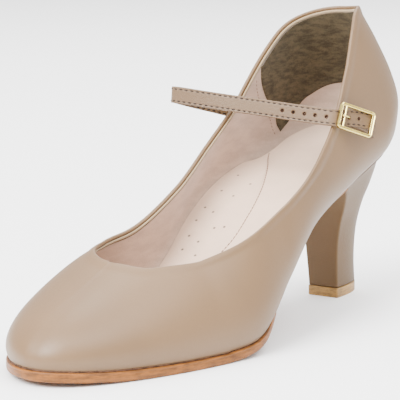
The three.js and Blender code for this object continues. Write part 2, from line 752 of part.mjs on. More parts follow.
// Prong: a rod hooked over the hinge bar, its tip in the strap's hole
function prongGeometry() {
  const hinge = -FRAME_LENGTH / 2 + LEFT_BAR + SLOT + HINGE_BAR / 2;
  const over = FRAME / 2 + PRONG;
  const reach = PRONG_AT - hinge;
  const slot = hinge - HINGE_BAR / 2 - SLOT / 2;
  const path = new THREE.CatmullRomCurve3([
    new THREE.Vector3(slot, 0, -FRAME / 4),
    new THREE.Vector3(slot, 0, FRAME / 2),
    new THREE.Vector3(slot + 0.35, 0, over - 0.18),
    new THREE.Vector3(hinge, 0, over),
    new THREE.Vector3(hinge + 0.27 * reach, 0, over - 0.1),
    new THREE.Vector3(hinge + 0.55 * reach, 0, over - 0.7),
    new THREE.Vector3(hinge + 0.8 * reach, 0, over - 1.5),
    new THREE.Vector3(hinge + 0.95 * reach, 0, over - 2.3),
    new THREE.Vector3(hinge + reach, 0, STRAP_DEPTH + 0.15),
  ], false, 'centripetal');
  const skin = new Skin();
  const rings = [];
  const steps = 18;
  for (let i = 0; i <= steps; i += 1) {
    const centre = path.getPointAt(i / steps);
    const run = path.getTangentAt(i / steps);
    const side = new THREE.Vector3(0, 1, 0);
    const top = run.clone().cross(side);
    const radius = (PRONG / 2) * (i > steps - 3 ? 0.75 : 1);
    const ring = [];
    for (let k = 0; k < 8; k += 1) {
      const angle = (Math.PI * k) / 4;
      ring.push(centre.clone()
        .addScaledVector(side, radius * Math.cos(angle))
        .addScaledVector(top, radius * Math.sin(angle)));
    }
    rings.push(skin.ring(ring));
  }
  skin.fan([...rings[0]].reverse());
  for (let i = 0; i < steps; i += 1) skin.band(rings[i], rings[i + 1]);
  skin.fan(rings[steps]);
  return skin.geometry();
}

const shoe = new THREE.Group();
shoe.add(finish('upper', upperGeometry(), LEATHER, 0.55));
shoe.add(finish('insole', insoleGeometry(), LINING, 0.85));
shoe.add(finish('outsole', outsoleGeometry(), SOLE_LEATHER, 0.5));
shoe.add(finish('heel', heelGeometry(), LEATHER, 0.5));
shoe.add(finish('top_lift', liftGeometry(), LIFT_COLOUR, 0.5));
shoe.add(finish('strap', strapGeometry(), LEATHER, 0.55));
shoe.add(finish('buckle_tab', tabGeometry(), LEATHER, 0.6));

const buckle = new THREE.Group();
buckle.position.copy(buckleCentre);
buckle.quaternion.setFromRotationMatrix(buckleTurn);
buckle.add(finish('buckle_frame', frameGeometry(), GOLD, 0.25, 1));
buckle.add(finish('buckle_prong', prongGeometry(), GOLD, 0.25, 1));
shoe.add(buckle);

// The origin is the middle of the lift's underside
const tip = heelHalf(1);
shoe.position.set(-(tip[0].x + tip[HEEL_STEPS].x) / 2, -HEEL_SHIFT, 0);
export default shoe;
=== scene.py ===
"""Left character shoe in tan leather with a covered high heel and a buckled instep strap."""

import math

import bmesh
import bpy
import numpy as np
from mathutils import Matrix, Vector


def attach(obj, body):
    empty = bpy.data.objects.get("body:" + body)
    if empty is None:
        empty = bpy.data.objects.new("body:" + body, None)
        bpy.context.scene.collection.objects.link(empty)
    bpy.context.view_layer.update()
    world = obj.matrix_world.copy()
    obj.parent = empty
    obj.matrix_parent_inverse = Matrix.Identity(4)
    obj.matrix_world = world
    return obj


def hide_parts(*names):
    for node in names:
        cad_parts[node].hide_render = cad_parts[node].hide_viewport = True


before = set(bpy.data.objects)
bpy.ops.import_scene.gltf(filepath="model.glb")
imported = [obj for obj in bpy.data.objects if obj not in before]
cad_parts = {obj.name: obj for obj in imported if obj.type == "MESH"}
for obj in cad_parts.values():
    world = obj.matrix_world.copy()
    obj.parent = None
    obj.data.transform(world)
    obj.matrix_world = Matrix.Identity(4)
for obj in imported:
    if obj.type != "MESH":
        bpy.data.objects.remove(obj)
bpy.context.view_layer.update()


# Upper leather
# One piece of smooth tan leather, lasted over the form of the foot. Its edge is folded over at
# the collar and its lower edge is turned under the foot, above the sole.

# Millimetres, with x = 0 at the back of the feather line, the edge where the upper turns under
FOOT = 220
BALL = 75
INSTEP = 72
SEAT_HEIGHT = 71.5
TOE_SPRING = 2.2
SWELL = 5
SWELL_RISE = 11
HEEL_ROUND = 26.5
TOE_ROUND = 66
BACK_SWEEP = 15
BACK_REACH = 99
FEATHER = 4.0
WALL = 2.0
FOLD = 1.5

# The form of the foot. Places along it are shares of FOOT; half widths and the centre line are
# shares of BALL, the ridge of INSTEP and the swells of SWELL.
LAST = {
    "at": (0.00, 0.12, 0.24, 0.38, 0.50, 0.62, 0.72, 0.85, 1.00),
    "outer": (0.350, 0.353, 0.357, 0.372, 0.416, 0.496, 0.488, 0.454, 0.404),
    "inner": (0.330, 0.330, 0.326, 0.310, 0.351, 0.449, 0.512, 0.511, 0.472),
    "centre": (0.000, 0.004, 0.003, 0.004, 0.021, 0.017, -0.035, -0.066, -0.056),
    "ridge": (1.000, 0.972, 0.903, 0.806, 0.752, 0.671, 0.554, 0.426, 0.355),
    "power": (3.6, 3.6, 3.5, 3.0, 2.75, 2.6, 2.5, 2.3, 2.25),
    "swell_out": (0.75, 0.72, 0.68, 0.80, 0.80, 0.50, 0.40, 0.40, 0.40),
    "swell_in": (0.90, 0.90, 1.10, 1.55, 1.00, 0.48, 0.44, 0.50, 0.48),
}
# How the feather line falls from the seat, and rises at the toe
FALL = {
    "at": (0.00, 0.12, 0.24, 0.38, 0.50, 0.62, 0.70),
    "drop": (1.000, 0.866, 0.727, 0.527, 0.262, 0.042, 0.000),
}
SPRING = {"at": (0.79, 0.90, 1.00), "rise": (0.00, 0.30, 1.00)}
# Rows of the wall, each from a place on the feather line to its place on the collar
COLLAR = {
    "row": (0, 1, 2, 3, 4, 5, 6, 7, 8, 9),
    "foot": (0.00, 0.06, 0.15, 0.28, 0.42, 0.55, 0.68, 0.82, 0.93, 1.00),
    "top": (0.000, 0.080, 0.200, 0.314, 0.400, 0.504, 0.608, 0.704, 0.774, 0.790),
    "outer": (0.762, 0.840, 0.668, 0.470, 0.432, 0.557, 0.722, 0.812, 0.925, 1.000),
    "inner": (0.762, 0.765, 0.710, 0.586, 0.548, 0.627, 0.735, 0.880, 0.985, 1.000),
}
# Lean of the back seam by its height
BACK = {
    "at": (0.00, 0.14, 0.28, 0.44, 0.62, 0.83, 1.04),
    "lean": (0.00, -0.16, -0.38, -0.18, 0.33, 1.00, 1.20),
}
LAST_ROW = 9

# The tip of the heel is the row's origin
BREAST = 48.5
TIP_FRONT = 0.618
TIP_REAR = 0.130
HEEL_SHIFT = 1.4
ORIGIN = np.array([BREAST * (TIP_FRONT + TIP_REAR) / 2, HEEL_SHIFT, 0.0])


def curve(table, key, column, at, flat=False):
    """A table's column as a smooth curve; flat ends start and stop level."""
    keys = np.array(table[key], float)
    values = np.array(table[column], float)
    at = np.asarray(at, float)
    gaps = np.diff(keys)
    chords = np.diff(values) / gaps
    slopes = np.empty(len(keys))
    slopes[1:-1] = (chords[:-1] * gaps[1:] + chords[1:] * gaps[:-1]) / (gaps[1:] + gaps[:-1])
    slopes[0] = 0 if flat else chords[0]
    slopes[-1] = 0 if flat else chords[-1]
    i = np.clip(np.searchsorted(keys, at, side="right") - 1, 0, len(gaps) - 1)
    t = np.clip((at - keys[i]) / gaps[i], 0, 1)
    start = (2 * t**3 - 3 * t**2 + 1) * values[i] + (t**3 - 2 * t**2 + t) * gaps[i] * slopes[i]
    end = (3 * t**2 - 2 * t**3) * values[i + 1] + (t**3 - t**2) * gaps[i] * slopes[i + 1]
    return start + end


def smooth(low, high, value):
    """0 below low, 1 above high, and an even slope between them."""
    t = np.clip((np.asarray(value, float) - low) / (high - low), 0, 1)
    return t * t * (3 - 2 * t)


def arc(into, length):
    """Narrowing of the last to a point of its outline."""
    left = np.clip(1 - np.asarray(into, float) / length, 0, 1)
    return np.sqrt(np.maximum(0, 1 - left**2))


def section(s):
    """One section of the last, or many, at share s of its length."""
    s = np.clip(s, 0, 1)
    x = s * FOOT
    ends = arc(x, HEEL_ROUND) * arc(FOOT - x, TOE_ROUND)
    return {
        "outer": BALL * curve(LAST, "at", "outer", s) * ends,
        "inner": BALL * curve(LAST, "at", "inner", s) * ends,
        "centre": BALL * curve(LAST, "at", "centre", s),
        "ridge": INSTEP * curve(LAST, "at", "ridge", s) * arc(FOOT - x, 0.9 * TOE_ROUND),
        "power": curve(LAST, "at", "power", s),
        "swell_out": SWELL * curve(LAST, "at", "swell_out", s),
        "swell_in": SWELL * curve(LAST, "at", "swell_in", s),
    }


def feather_height(x):
    """Height of the feather line over the floor."""
    s = np.asarray(x, float) / FOOT
    fall = np.where(s < 0.7, np.maximum(0, curve(FALL, "at", "drop", s)), 0)
    rise = np.where(s > 0.79, np.maximum(0, curve(SPRING, "at", "rise", s)), 0)
    return FEATHER + (SEAT_HEIGHT - FEATHER) * fall + TOE_SPRING * rise


def feather_plan(s, side):
    """Point of the feather line seen from above; side 1 is outer and -1 inner."""
    part = section(s)
    width = np.where(np.asarray(side) > 0, part["outer"], part["inner"])
    return np.stack([np.clip(s, 0, 1) * FOOT, part["centre"] + side * width], -1)


def outward(s, side):
    """Direction out of the feather line, seen from above."""
    share = np.clip(s, 0.0001, 0.9999)
    run = feather_plan(share + 0.001, side) - feather_plan(share - 0.001, side)
    side = np.broadcast_to(np.asarray(side, float), run.shape[:-1])
    out = np.stack([-run[..., 1] * side, run[..., 0] * side], -1)
    return out / np.linalg.norm(out, axis=-1, keepdims=True)


def outer_face(row, side, v):
    """Point of the upper's outer face, from the feather line (v = 0) to the collar (v = 1)."""
    row, side, v = np.broadcast_arrays(row, np.asarray(side, float), np.asarray(v, float))
    foot = curve(COLLAR, "row", "foot", row, True)
    top = curve(COLLAR, "row", "top", row, True)
    heights = [curve(COLLAR, "row", name, row, True) for name in ("outer", "inner")]
    height = np.minimum(1, np.where(side > 0, heights[0], heights[1]))
    start = section(foot)
    end = section(top)
    reach = np.maximum(0, 1 - height**2) ** (1 / end["power"])
    along = v * v
    s = foot + (top - foot) * along
    here = section(s)

    def half(part):
        return np.where(side > 0, part["outer"], part["inner"])

    y0 = start["centre"] + side * half(start)
    y1 = end["centre"] + side * half(end) * reach
    y = y0 + (y1 - y0) * along
    width = half(here)
    narrow = width < 0.0001
    wide = side * (y - here["centre"]) / np.where(narrow, 1, width)
    across = np.where(narrow, 1 + (reach - 1) * along, wide)
    eta = np.clip(np.abs(across), 0, 1)
    rise = here["ridge"] * np.sqrt(np.maximum(0, 1 - eta ** here["power"]))
    hump = rise / SWELL_RISE * np.exp(1 - rise / SWELL_RISE)
    bulge = np.where(side > 0, start["swell_out"], start["swell_in"]) * hump
    push = outward(foot, side)
    fade = np.maximum(0, 1 - (np.maximum(0, s * FOOT) / BACK_REACH) ** 1.5)
    lean = BACK_SWEEP * curve(BACK, "at", "lean", rise / INSTEP) * fade
    x = s * FOOT + push[..., 0] * bulge + lean
    return np.stack([x, y + push[..., 1] * bulge, feather_height(s * FOOT) + rise], -1)


def unit(vectors):
    """Vectors at length 1."""
    return vectors / np.maximum(np.linalg.norm(vectors, axis=-1, keepdims=True), 1e-9)


def grid_normals(points):
    """Directions out of a grid of points, whose first index runs round the shoe."""
    round_way = np.roll(points, -1, 0) - np.roll(points, 1, 0)
    up = np.gradient(points, axis=1)
    return unit(np.cross(up, round_way))


def mesh_piece(name, points, faces, material, replaced=(), shade_smooth=True):
    """A piece of the shoe from points in millimetres, riding on the shoe's one body."""
    mesh = bpy.data.meshes.new(name)
    points = (np.asarray(points).reshape(-1, 3) - ORIGIN) / 1000
    mesh.from_pydata(points.tolist(), [], faces)
    skin = bmesh.new()
    skin.from_mesh(mesh)
    bmesh.ops.remove_doubles(skin, verts=skin.verts, dist=1e-7)
    bmesh.ops.recalc_face_normals(skin, faces=skin.faces)
    skin.to_mesh(mesh)
    skin.free()
    mesh.polygons.foreach_set("use_smooth", [shade_smooth] * len(mesh.polygons))
    piece = bpy.data.objects.new(name, mesh)
    bpy.context.scene.collection.objects.link(piece)
    mesh.materials.append(material)
    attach(piece, "root")
    if replaced:
        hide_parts(*replaced)


def grid_faces(rows, columns, closed_rows=False, closed_columns=False):
    """Quads of a grid of points, numbered row by row."""
    i = np.arange(rows if closed_rows else rows - 1)
    j = np.arange(columns if closed_columns else columns - 1)
    i, j = np.meshgrid(i, j, indexing="ij")
    after_i = (i + 1) % rows
    after_j = (j + 1) % columns
    corners = ((i, j), (i, after_j), (after_i, after_j), (after_i, j))
    return np.stack([a * columns + b for a, b in corners], -1).reshape(-1, 4).tolist()


class Shade:
    """A socket of a material. Sums and products of it add Math nodes."""

    def __init__(self, tree, socket=None):
        self.tree = tree
        self.socket = socket

    def node(self, kind, settings=None, inputs=None, output=0):
        """A node of a type, its settings first, then the values or links of its sockets."""
        made = self.tree.nodes.new(kind)
        for name, value in (settings or {}).items():
            setattr(made, name, value)
        for name, value in (inputs or {}).items():
            if isinstance(value, Shade):
                self.tree.links.new(value.socket, made.inputs[name])
            else:
                made.inputs[name].default_value = value
        return Shade(self.tree, made.outputs[output])

    def math(self, operation, *values):
        """A Math node on values."""
        return self.node("ShaderNodeMath", {"operation": operation}, dict(enumerate(values)))

    def __add__(self, other):
        return self.math("ADD", self, other)

    def __sub__(self, other):
        return self.math("SUBTRACT", self, other)

    def __rsub__(self, other):
        return self.math("SUBTRACT", other, self)

    def __mul__(self, other):
        return self.math("MULTIPLY", self, other)

    __radd__ = __add__
    __rmul__ = __mul__

    def between(self, low, high):
        """0 below low, 1 above high."""
        return self.node(
            "ShaderNodeMapRange",
            {"interpolation_type": "SMOOTHSTEP"},
            {"Value": self, "From Min": low, "From Max": high},
        )

    def mix(self, first, second):
        """A colour between two others by this share."""
        inputs = {0: self, 6: first, 7: second}
        return self.node("ShaderNodeMix", {"data_type": "RGBA"}, inputs, 2)

    def noise(self, scale, detail, roughness):
        """Cloudy value over a place, with a count of clouds to the metre."""
        inputs = {"Vector": self, "Scale": scale, "Detail": detail, "Roughness": roughness}
        return self.node("ShaderNodeTexNoise", None, inputs)

    def stretched(self, x, y, z):
        """The place with its three axes scaled."""
        return self.node("ShaderNodeMapping", None, {"Vector": self, "Scale": (x, y, z)})

    def axis(self, name):
        """One axis of a place."""
        return self.node("ShaderNodeSeparateXYZ", None, {"Vector": self}, "XYZ".index(name))


def finish(name, roughness=0.5, metallic=0.0, specular=0.5, **fixed):
    """A new material: returns it, its Principled shader and its object coordinates in metres."""
    material = bpy.data.materials.new(name)
    material.use_nodes = True
    tree = material.node_tree
    shader = tree.nodes["Principled BSDF"]
    shader.inputs["Roughness"].default_value = roughness
    shader.inputs["Metallic"].default_value = metallic
    shader.inputs["Specular IOR Level"].default_value = specular
    for label, value in fixed.items():
        shader.inputs[label.replace("_", " ")].default_value = value
    place = Shade(tree).node("ShaderNodeTexCoord", output=3)
    return material, shader, place


def wear(shader, label, value):
    """Links a value that changes over the surface to the shader."""
    value.tree.links.new(value.socket, shader.inputs[label])


def relief(shader, height, depth, distance=0.001):
    """Low relief on the surface from a height between 0 and 1."""
    inputs = {"Height": height, "Strength": depth, "Distance": distance}
    wear(shader, "Normal", height.node("ShaderNodeBump", None, inputs))


def colour(red, green, blue):
    """Screen colour from 0 to 255 as the light that the shader takes."""
    return tuple(((value / 255 + 0.055) / 1.055) ** 2.4 for value in (red, green, blue))


def shade_of(tone, share):
    """The tone, lighter or darker, with its alpha."""
    return (*(min(1.0, value * share) for value in tone), 1)


def tan_leather(name, tone, roughness, grain, seam=None, gloss=0.45):
    """Smooth tan leather: two close tones in soft clouds and a fine closed grain."""
    material, shader, place = finish(name, roughness, specular=gloss)
    clouds = place.noise(22, 3, 0.5)
    fine = place.noise(900, 2, 0.6)
    cells = place.node(
        "ShaderNodeTexVoronoi", {"feature": "DISTANCE_TO_EDGE"}, {"Vector": place, "Scale": 1100.0}
    )
    base = clouds.between(0.3, 0.7).mix(shade_of(tone, 0.93), shade_of(tone, 1.05))
    wear(shader, "Base Color", (fine.between(0.35, 0.7) * 0.10).mix(base, shade_of(tone, 0.75)))
    wear(shader, "Roughness", roughness + (clouds - 0.5) * 0.12 + (fine - 0.5) * 0.08)
    height = cells.between(0.0, 0.25) * 0.5 + fine * 0.5
    relief(shader, height if seam is None else height * 0.4 + seam(place) * 2.0, grain, 0.0002)
    return material


def back_seam(place):
    """1 on the leather and 0 in the closed seam down the middle of its back."""
    off = place.axis("Y") + ORIGIN[1] / 1000
    groove = off.math("ABSOLUTE", off).between(0.0001, 0.0004)
    forward = place.axis("X").between(-0.012, -0.010)
    return groove.math("MAXIMUM", groove, forward)


UPPER_TAN = colour(105, 80, 53)
upper_leather = tan_leather("tan_upper_leather", UPPER_TAN, 0.46, 0.25, back_seam)

SIDE_STEPS = 170
WALL_STEPS = 64
turn = np.arange(SIDE_STEPS) / SIDE_STEPS
row = LAST_ROW * np.concatenate([turn, 1 - turn])
side = np.where(np.arange(2 * SIDE_STEPS) > SIDE_STEPS, -1.0, 1.0)
share = np.linspace(0, 1, WALL_STEPS + 1)
wall = outer_face(row[:, None], side[:, None], share[None, :])
wall_out = grid_normals(wall)
to_edge = np.linalg.norm(np.diff(wall, axis=1), axis=-1)
to_edge = np.cumsum(to_edge[:, ::-1], axis=1)[:, ::-1]
to_edge = np.concatenate([to_edge, np.zeros((2 * SIDE_STEPS, 1))], axis=1)


def ripples(points):
    """Slight unevenness of leather pulled over the last."""
    x, y, z = points[..., 0], points[..., 1], points[..., 2]
    long_wave = np.sin(x / 17 + 0.6 * np.sin(y / 13)) * np.sin(z / 15 + 1.2)
    short_wave = np.sin(x / 7.5 + y / 9 + 2) * np.sin(z / 8 - x / 19)
    return 0.10 * long_wave + 0.04 * short_wave


FOLD_RISE = 0.2
FOLD_DEPTHS = (1.2, 3.0)
FOLD_STEPS = 9
MARGIN_INSETS = ((7, 0.0), (2.0, 0.0), (0.6, 0.12))


def fold_profile(edge, out, up):
    """Rounded edge from the outer face over to the inner face, then down inside."""
    turned = []
    for angle in np.linspace(0, math.pi, FOLD_STEPS):
        over = out * (math.cos(angle) - 1) + up * math.sin(angle)
        turned.append(edge + over * FOLD / 2 + up * FOLD_RISE)
    turned += [edge - out * FOLD - up * depth for depth in FOLD_DEPTHS]
    return np.stack(turned, 1)


# The leather swells over the padding in the fold along the collar
ROLL = 0.42
ROLL_WIDE = 4.2
fold_swell = ROLL * (1 - smooth(0.2 * ROLL_WIDE, ROLL_WIDE, to_edge))
skin = wall + wall_out * (ripples(wall) * smooth(0, 8, to_edge) + fold_swell)[..., None]
edge_up = unit(wall[:, -1] - wall[:, -3])
fold = fold_profile(skin[:, -1], wall_out[:, -1], edge_up)
feather_out = outward(curve(COLLAR, "row", "foot", row, True), side)
margin = [
    np.concatenate([wall[:, 0, :2] - feather_out * inset, wall[:, :1, 2] + lift], 1)
    for inset, lift in MARGIN_INSETS
]
grid = np.concatenate([np.stack(margin, 1), skin, fold], 1)
faces = grid_faces(*grid.shape[:2], closed_rows=True)
mesh_piece("upper_leather", grid, faces, upper_leather, ("upper",))


# Lining
# Pinkish beige suede glued inside the upper, with a seam in it on either side of the heel. Its
# edge is folded in under the collar and shows there as a pale line.

LINING_OFF = 0.05
LIP = ((3, 0), (0.5, 0), (0.15, 0.15), (0.1, 0.4), (0.35, 0.66), (1.5, 0.74), (1.9, 0.45))
LINING_PINK = colour(178, 152, 134)
EDGE_CREAM = colour(158, 136, 106)


def suede(name, tone, depth, patch, clouds=75, sheen=0.25):
    """Napped suede: soft level patches where the nap lies over, and short fibres."""
    material, shader, place = finish(name, 0.92, specular=0.2, Sheen_Weight=sheen, Sheen_Roughness=0.5)
    patches = place.stretched(0.5, 0.5, 1.6).noise(clouds, 4, 0.6)
    fibres = place.noise(1400, 3, 0.7)
    nap = (patches * 0.7 + fibres * 0.3).between(0.35, 0.65)
    wear(shader, "Base Color", nap.mix(shade_of(tone, 1 - patch), shade_of(tone, 1 + patch * 0.6)))
    relief(shader, fibres * 0.7 + patches * 0.3, depth, 0.0003)
    return material


lining_suede = suede("pink_beige_lining", LINING_PINK, 0.5, 0.13, 170)
edge_in = skin[:, -1] - wall_out[:, -1] * (FOLD + 0.12)
grid = np.stack([edge_in - edge_up * down - wall_out[:, -1] * into for down, into in LIP], 1)
faces = grid_faces(*grid.shape[:2], closed_rows=True)
edge_suede = suede("cream_lining_edge", EDGE_CREAM, 0.2, 0.06)
mesh_piece("lining_edge", grid, faces, edge_suede)
grid = (wall - wall_out * (WALL + LINING_OFF))[:, :-2][:, ::-1]
faces = grid_faces(*grid.shape[:2], closed_rows=True)
mesh_piece("lining", grid, faces, lining_suede)


def lining_face(place_row, way, v, off=0.0):
    """Point of the lining, moved off it into the shoe, and the way out of the shoe there."""
    row_at, v_at = np.broadcast_arrays(np.asarray(place_row, float), np.asarray(v, float))
    step = 0.02
    ahead = outer_face(np.minimum(LAST_ROW, row_at + step), way, v_at)
    behind = outer_face(np.maximum(0, row_at - step), way, v_at)
    over = outer_face(row_at, way, np.minimum(1, v_at + step))
    below = outer_face(row_at, way, np.maximum(0, v_at - step))
    out = unit(np.cross(over - below, ahead - behind) * np.asarray(way, float)[..., None])
    return outer_face(row_at, way, v_at) - out * (WALL + LINING_OFF + off), out


def runs_along(line):
    """Length run along a line at each of its points."""
    return np.concatenate([[0], np.cumsum(np.linalg.norm(np.diff(line, axis=0), axis=1))])


def at_runs(wanted, runs, values):
    """Places or directions of a line at the wanted lengths along it."""
    return np.stack([np.interp(wanted, runs, values[:, k]) for k in range(3)], -1)


def tube(centre, beside, above, radius, sides):
    """Rings of points round a line, a radius to each of its points."""
    around = np.arange(sides) / sides * 2 * math.pi
    circle = beside[:, None] * np.cos(around)[:, None] + above[:, None] * np.sin(around)[:, None]
    return centre[:, None] + circle * radius[:, None, None]


def closed_rings(grid):
    """Faces of a stack of rings with both ends shut."""
    rings, count = grid.shape[:2]
    last = (rings - 1) * count
    ends = [list(range(count)), list(range(last + count - 1, last - 1, -1))]
    return grid_faces(rings, count, closed_columns=True) + ends


def stitches(path, outs, pitch, length, thick):
    """Points and faces of a row of stitches that dip into the leather at both ends."""
    outs = np.broadcast_to(np.asarray(outs, float), path.shape)
    runs = runs_along(path)
    t = np.linspace(0, 1, 6)
    bow = np.sin(math.pi * t)
    points, faces = [], []
    for start in np.arange(0.5 * pitch, runs[-1] - length, pitch):
        centre = at_runs(start + t * length, runs, path)
        out = unit(at_runs(start + t * length, runs, outs))
        beside = np.cross(unit(np.gradient(centre, axis=0)), out)
        centre = centre + out * (thick * (0.55 * bow - 0.35))[:, None]
        rings = tube(centre, beside, out, thick * (0.3 + 0.35 * bow), 6)
        base = sum(len(part) for part in points)
        faces += [[base + k for k in face] for face in closed_rings(rings)]
        points.append(rings.reshape(-1, 3))
    return np.concatenate(points), faces


def thread(name, tone):
    """Twisted thread whose strands catch the light unevenly."""
    material, shader, place = finish(name, 0.6, specular=0.3)
    strands = place.noise(1500, 2, 0.5).between(0.3, 0.7)
    wear(shader, "Base Color", strands.mix(shade_of(tone, 0.8), shade_of(tone, 1.15)))
    return material


# Front edge of the heel grip on the lining, by the height on the wall
GRIP_FRONT = {"v": (0.10, 0.23, 0.56, 0.82, 1.00), "row": (1.55, 1.75, 2.13, 2.16, 2.02)}
SEAM_AHEAD = 0.14
THREAD_BEIGE = colour(96, 70, 54)
LINING_STITCH = {"pitch": 1.9, "length": 1.3, "thick": 0.22}
beige_thread = thread("beige_lining_thread", THREAD_BEIGE)
for way, word in ((-1.0, "inner"), (1.0, "outer")):
    v = np.linspace(0.10, 0.93, 60)
    line, out = lining_face(curve(GRIP_FRONT, "v", "row", v) + SEAM_AHEAD, way, v, 0.02)
    points, faces = stitches(line, -out, **LINING_STITCH)
    mesh_piece(f"{word}_lining_stitches", points, faces, beige_thread)


# Heel grip
# Darker grey brown suede pasted over the lining round the back of the heel, nap outwards so
# that the heel doesn't slip. It reaches from the collar half way down.

GRIP_LOW = {
    "row": (0.00, 0.32, 0.54, 0.81, 1.07, 1.24, 1.55, 2.20),
    "v": (0.31, 0.31, 0.31, 0.28, 0.24, 0.16, 0.10, 0.10),
}
GRIP_BROWN = colour(80, 71, 54)
GRIP_TOP = 0.975
GRIP_THICK = 0.45
GRIP_STEPS = 120
GRIP_RISE = 44
t = np.linspace(-1, 1, 2 * GRIP_STEPS + 1)[:, None]
u = np.linspace(0, 1, GRIP_RISE + 1)[None, :]
v = 0.3 + 0.7 * u + 0 * t
for _ in range(20):
    front = curve(GRIP_FRONT, "v", "row", v)
    low = curve(GRIP_LOW, "row", "v", np.abs(t) * front)
    v = low + (GRIP_TOP - low) * u
grip_row = np.abs(t) * curve(GRIP_FRONT, "v", "row", v)
way = np.where(t < 0, -1.0, 1.0) + 0 * v
from_front = (1 - np.abs(t)) * GRIP_STEPS / 2.0 + 0 * u
from_below = u * GRIP_RISE / 1.5 + 0 * t
rim = np.minimum(1, np.minimum(from_front, from_below))
grid, _ = lining_face(grip_row, way, v)
_, grip_out = lining_face(np.maximum(grip_row, 0.05), way, v)
grid = grid - grip_out * (0.04 + GRIP_THICK * rim[..., None] ** 0.6)
grip_suede = suede("grey_brown_heel_grip", GRIP_BROWN, 1.0, 0.45, 380, 0.02)
mesh_piece("heel_grip", grid, grid_faces(*grid.shape[:2]), grip_suede)


# Sock and arch pad
# Light beige leather glued flat over the insole. On its inner side it goes over a soft pad for
# the arch, behind a seam, with small holes for air, and rises a little up the lining.

INSOLE = 2.4
BED = WALL + 0.3
INSOLE_FIT = 0.9
SOCK_BEIGE = colour(202, 174, 152)
PAD_SEAM = {
    "s": (0.00, 0.12, 0.173, 0.233, 0.318, 0.383, 0.441, 0.481, 0.56, 0.64, 1.00),
    "across": (1.00, 1.00, 0.99, 0.83, 0.66, 0.59, 0.59, 0.64, 0.80, 0.98, 1.00),
}
PAD_TOP = {
    "s": (0.00, 0.16, 0.20, 0.24, 0.29, 0.38, 0.45, 0.52, 0.60, 1.00),
    "v": (0.00, 0.02, 0.07, 0.13, 0.18, 0.19, 0.20, 0.10, 0.0, 0.0),
}
PAD_PUFF = 0.9
PAD_CREASE = ((0.5, 0.0), (0.22, -0.12), (0.0, -0.35))
PAD_SEWN = (0.17, 0.62)
PAD_STITCH = {"pitch": 2.1, "length": 1.6, "thick": 0.36}
SOCK_OFF = 0.1
AIR_HOLE = 0.45
AIR_HOLES = {
    "x": (62.6, 66.5, 75.0, 76.4, 85.8, 87.2, 92.7, 94.3, 92.9, 99.8, 101.4, 105.7, 107.3),
    "y": (-21.5, -12.5, -21.5, -14.5, -22.5, -17.4, -22.2, -11.9, -7.8, -20.9, -15.1, -20.1, -12.4),
    "z": (56.4, 53.5, 51.2, 49.5, 45.3, 44.0, 40.9, 38.8, 39.4, 35.5, 33.8, 30.7, 29.2),
}
SOCK_ROWS = 240
FLAT_STEPS = 34
PAD_STEPS = 26
s = np.sin(0.5 * math.pi * np.arange(SOCK_ROWS + 1) / SOCK_ROWS) ** 2
outer_edge, inner_edge = (
    feather_plan(s, way) - outward(s, way) * (WALL + INSOLE_FIT - 0.3) for way in (1.0, -1.0)
)
for end in (0, -1):
    outer_edge[end] = inner_edge[end] = (outer_edge[end] + inner_edge[end]) / 2


def sock_level(plan):
    """Points of the flat sock over a plan."""
    height = feather_height(plan[..., 0]) + BED + INSOLE + SOCK_OFF
    return np.concatenate([plan, height[..., None]], -1)


seam_share = np.clip(curve(PAD_SEAM, "s", "across", s), 0, 1)[:, None]
pad_v = np.clip(curve(PAD_TOP, "s", "v", s), 0, 1)
wall_rows = np.interp(s, COLLAR["foot"], COLLAR["row"])
for _ in range(12):
    wall_rows = wall_rows + 4 * (s - curve(COLLAR, "row", "foot", wall_rows, True))
pad_edge, _ = lining_face(np.clip(wall_rows, 0, LAST_ROW), -1.0, pad_v, 0.25)
rise = smooth(0.02, 0.12, pad_v)[:, None]
flat_edge = sock_level(inner_edge)
pad_edge[:, 2] = np.maximum(pad_edge[:, 2], flat_edge[:, 2])
pad_edge = flat_edge + (pad_edge - flat_edge) * rise
seam_line = sock_level(outer_edge * (1 - seam_share) + inner_edge * seam_share)
flat_share = np.linspace(0, 1, FLAT_STEPS + 1)[:-1]
flat_part = [sock_level(outer_edge + (seam_line[:, :2] - outer_edge) * t) for t in flat_share]
flat_part += [seam_line + (0, shift, sunk) for shift, sunk in PAD_CREASE]
puff = PAD_PUFF * smooth(0.0, 6.0, np.linalg.norm(pad_edge - seam_line, axis=1))[:, None]
pad_part = []
for t in np.linspace(0, 1, PAD_STEPS + 1)[1:]:
    point = seam_line + (pad_edge - seam_line) * t
    point[:, 2] = seam_line[:, 2] + (pad_edge[:, 2] - seam_line[:, 2]) * t**1.8
    point[:, 2:] += puff * math.sin(math.pi * t**0.7) ** 0.6 if t < 1 else 0
    pad_part.append(point)
sock_grid = np.stack(flat_part + pad_part, 1)
sock_leather, shader, place = finish("light_beige_sock", 0.7, specular=0.3)
patches = place.noise(60, 4, 0.6)
fibres = place.noise(1300, 3, 0.7)
nap = (patches * 0.7 + fibres * 0.3).between(0.35, 0.65)
tone = nap.mix(shade_of(SOCK_BEIGE, 0.94), shade_of(SOCK_BEIGE, 1.03))
nearest = place.axis("X") + 1
for x, y, z in zip(AIR_HOLES["x"], AIR_HOLES["y"], AIR_HOLES["z"]):
    centre = {0: place, 1: tuple((np.array([x, y, z]) - ORIGIN) / 1000)}
    far = place.node("ShaderNodeVectorMath", {"operation": "DISTANCE"}, centre, "Value")
    nearest = nearest.math("MINIMUM", nearest, far)
# The air holes are dark dots in the colour, painted shade inside each hole, with a dimple in the relief
# round it
hole_shade = 1 - nearest.between(0.0009 * AIR_HOLE, 0.0016 * AIR_HOLE)
dimple = 1 - nearest.between(0.0015 * AIR_HOLE, 0.005 * AIR_HOLE)
wear(shader, "Base Color", hole_shade.mix(tone, shade_of(SOCK_BEIGE, 0.22)))
relief(shader, fibres * 0.3 + patches * 0.3 - dimple * 1.2, 0.35, 0.0004)
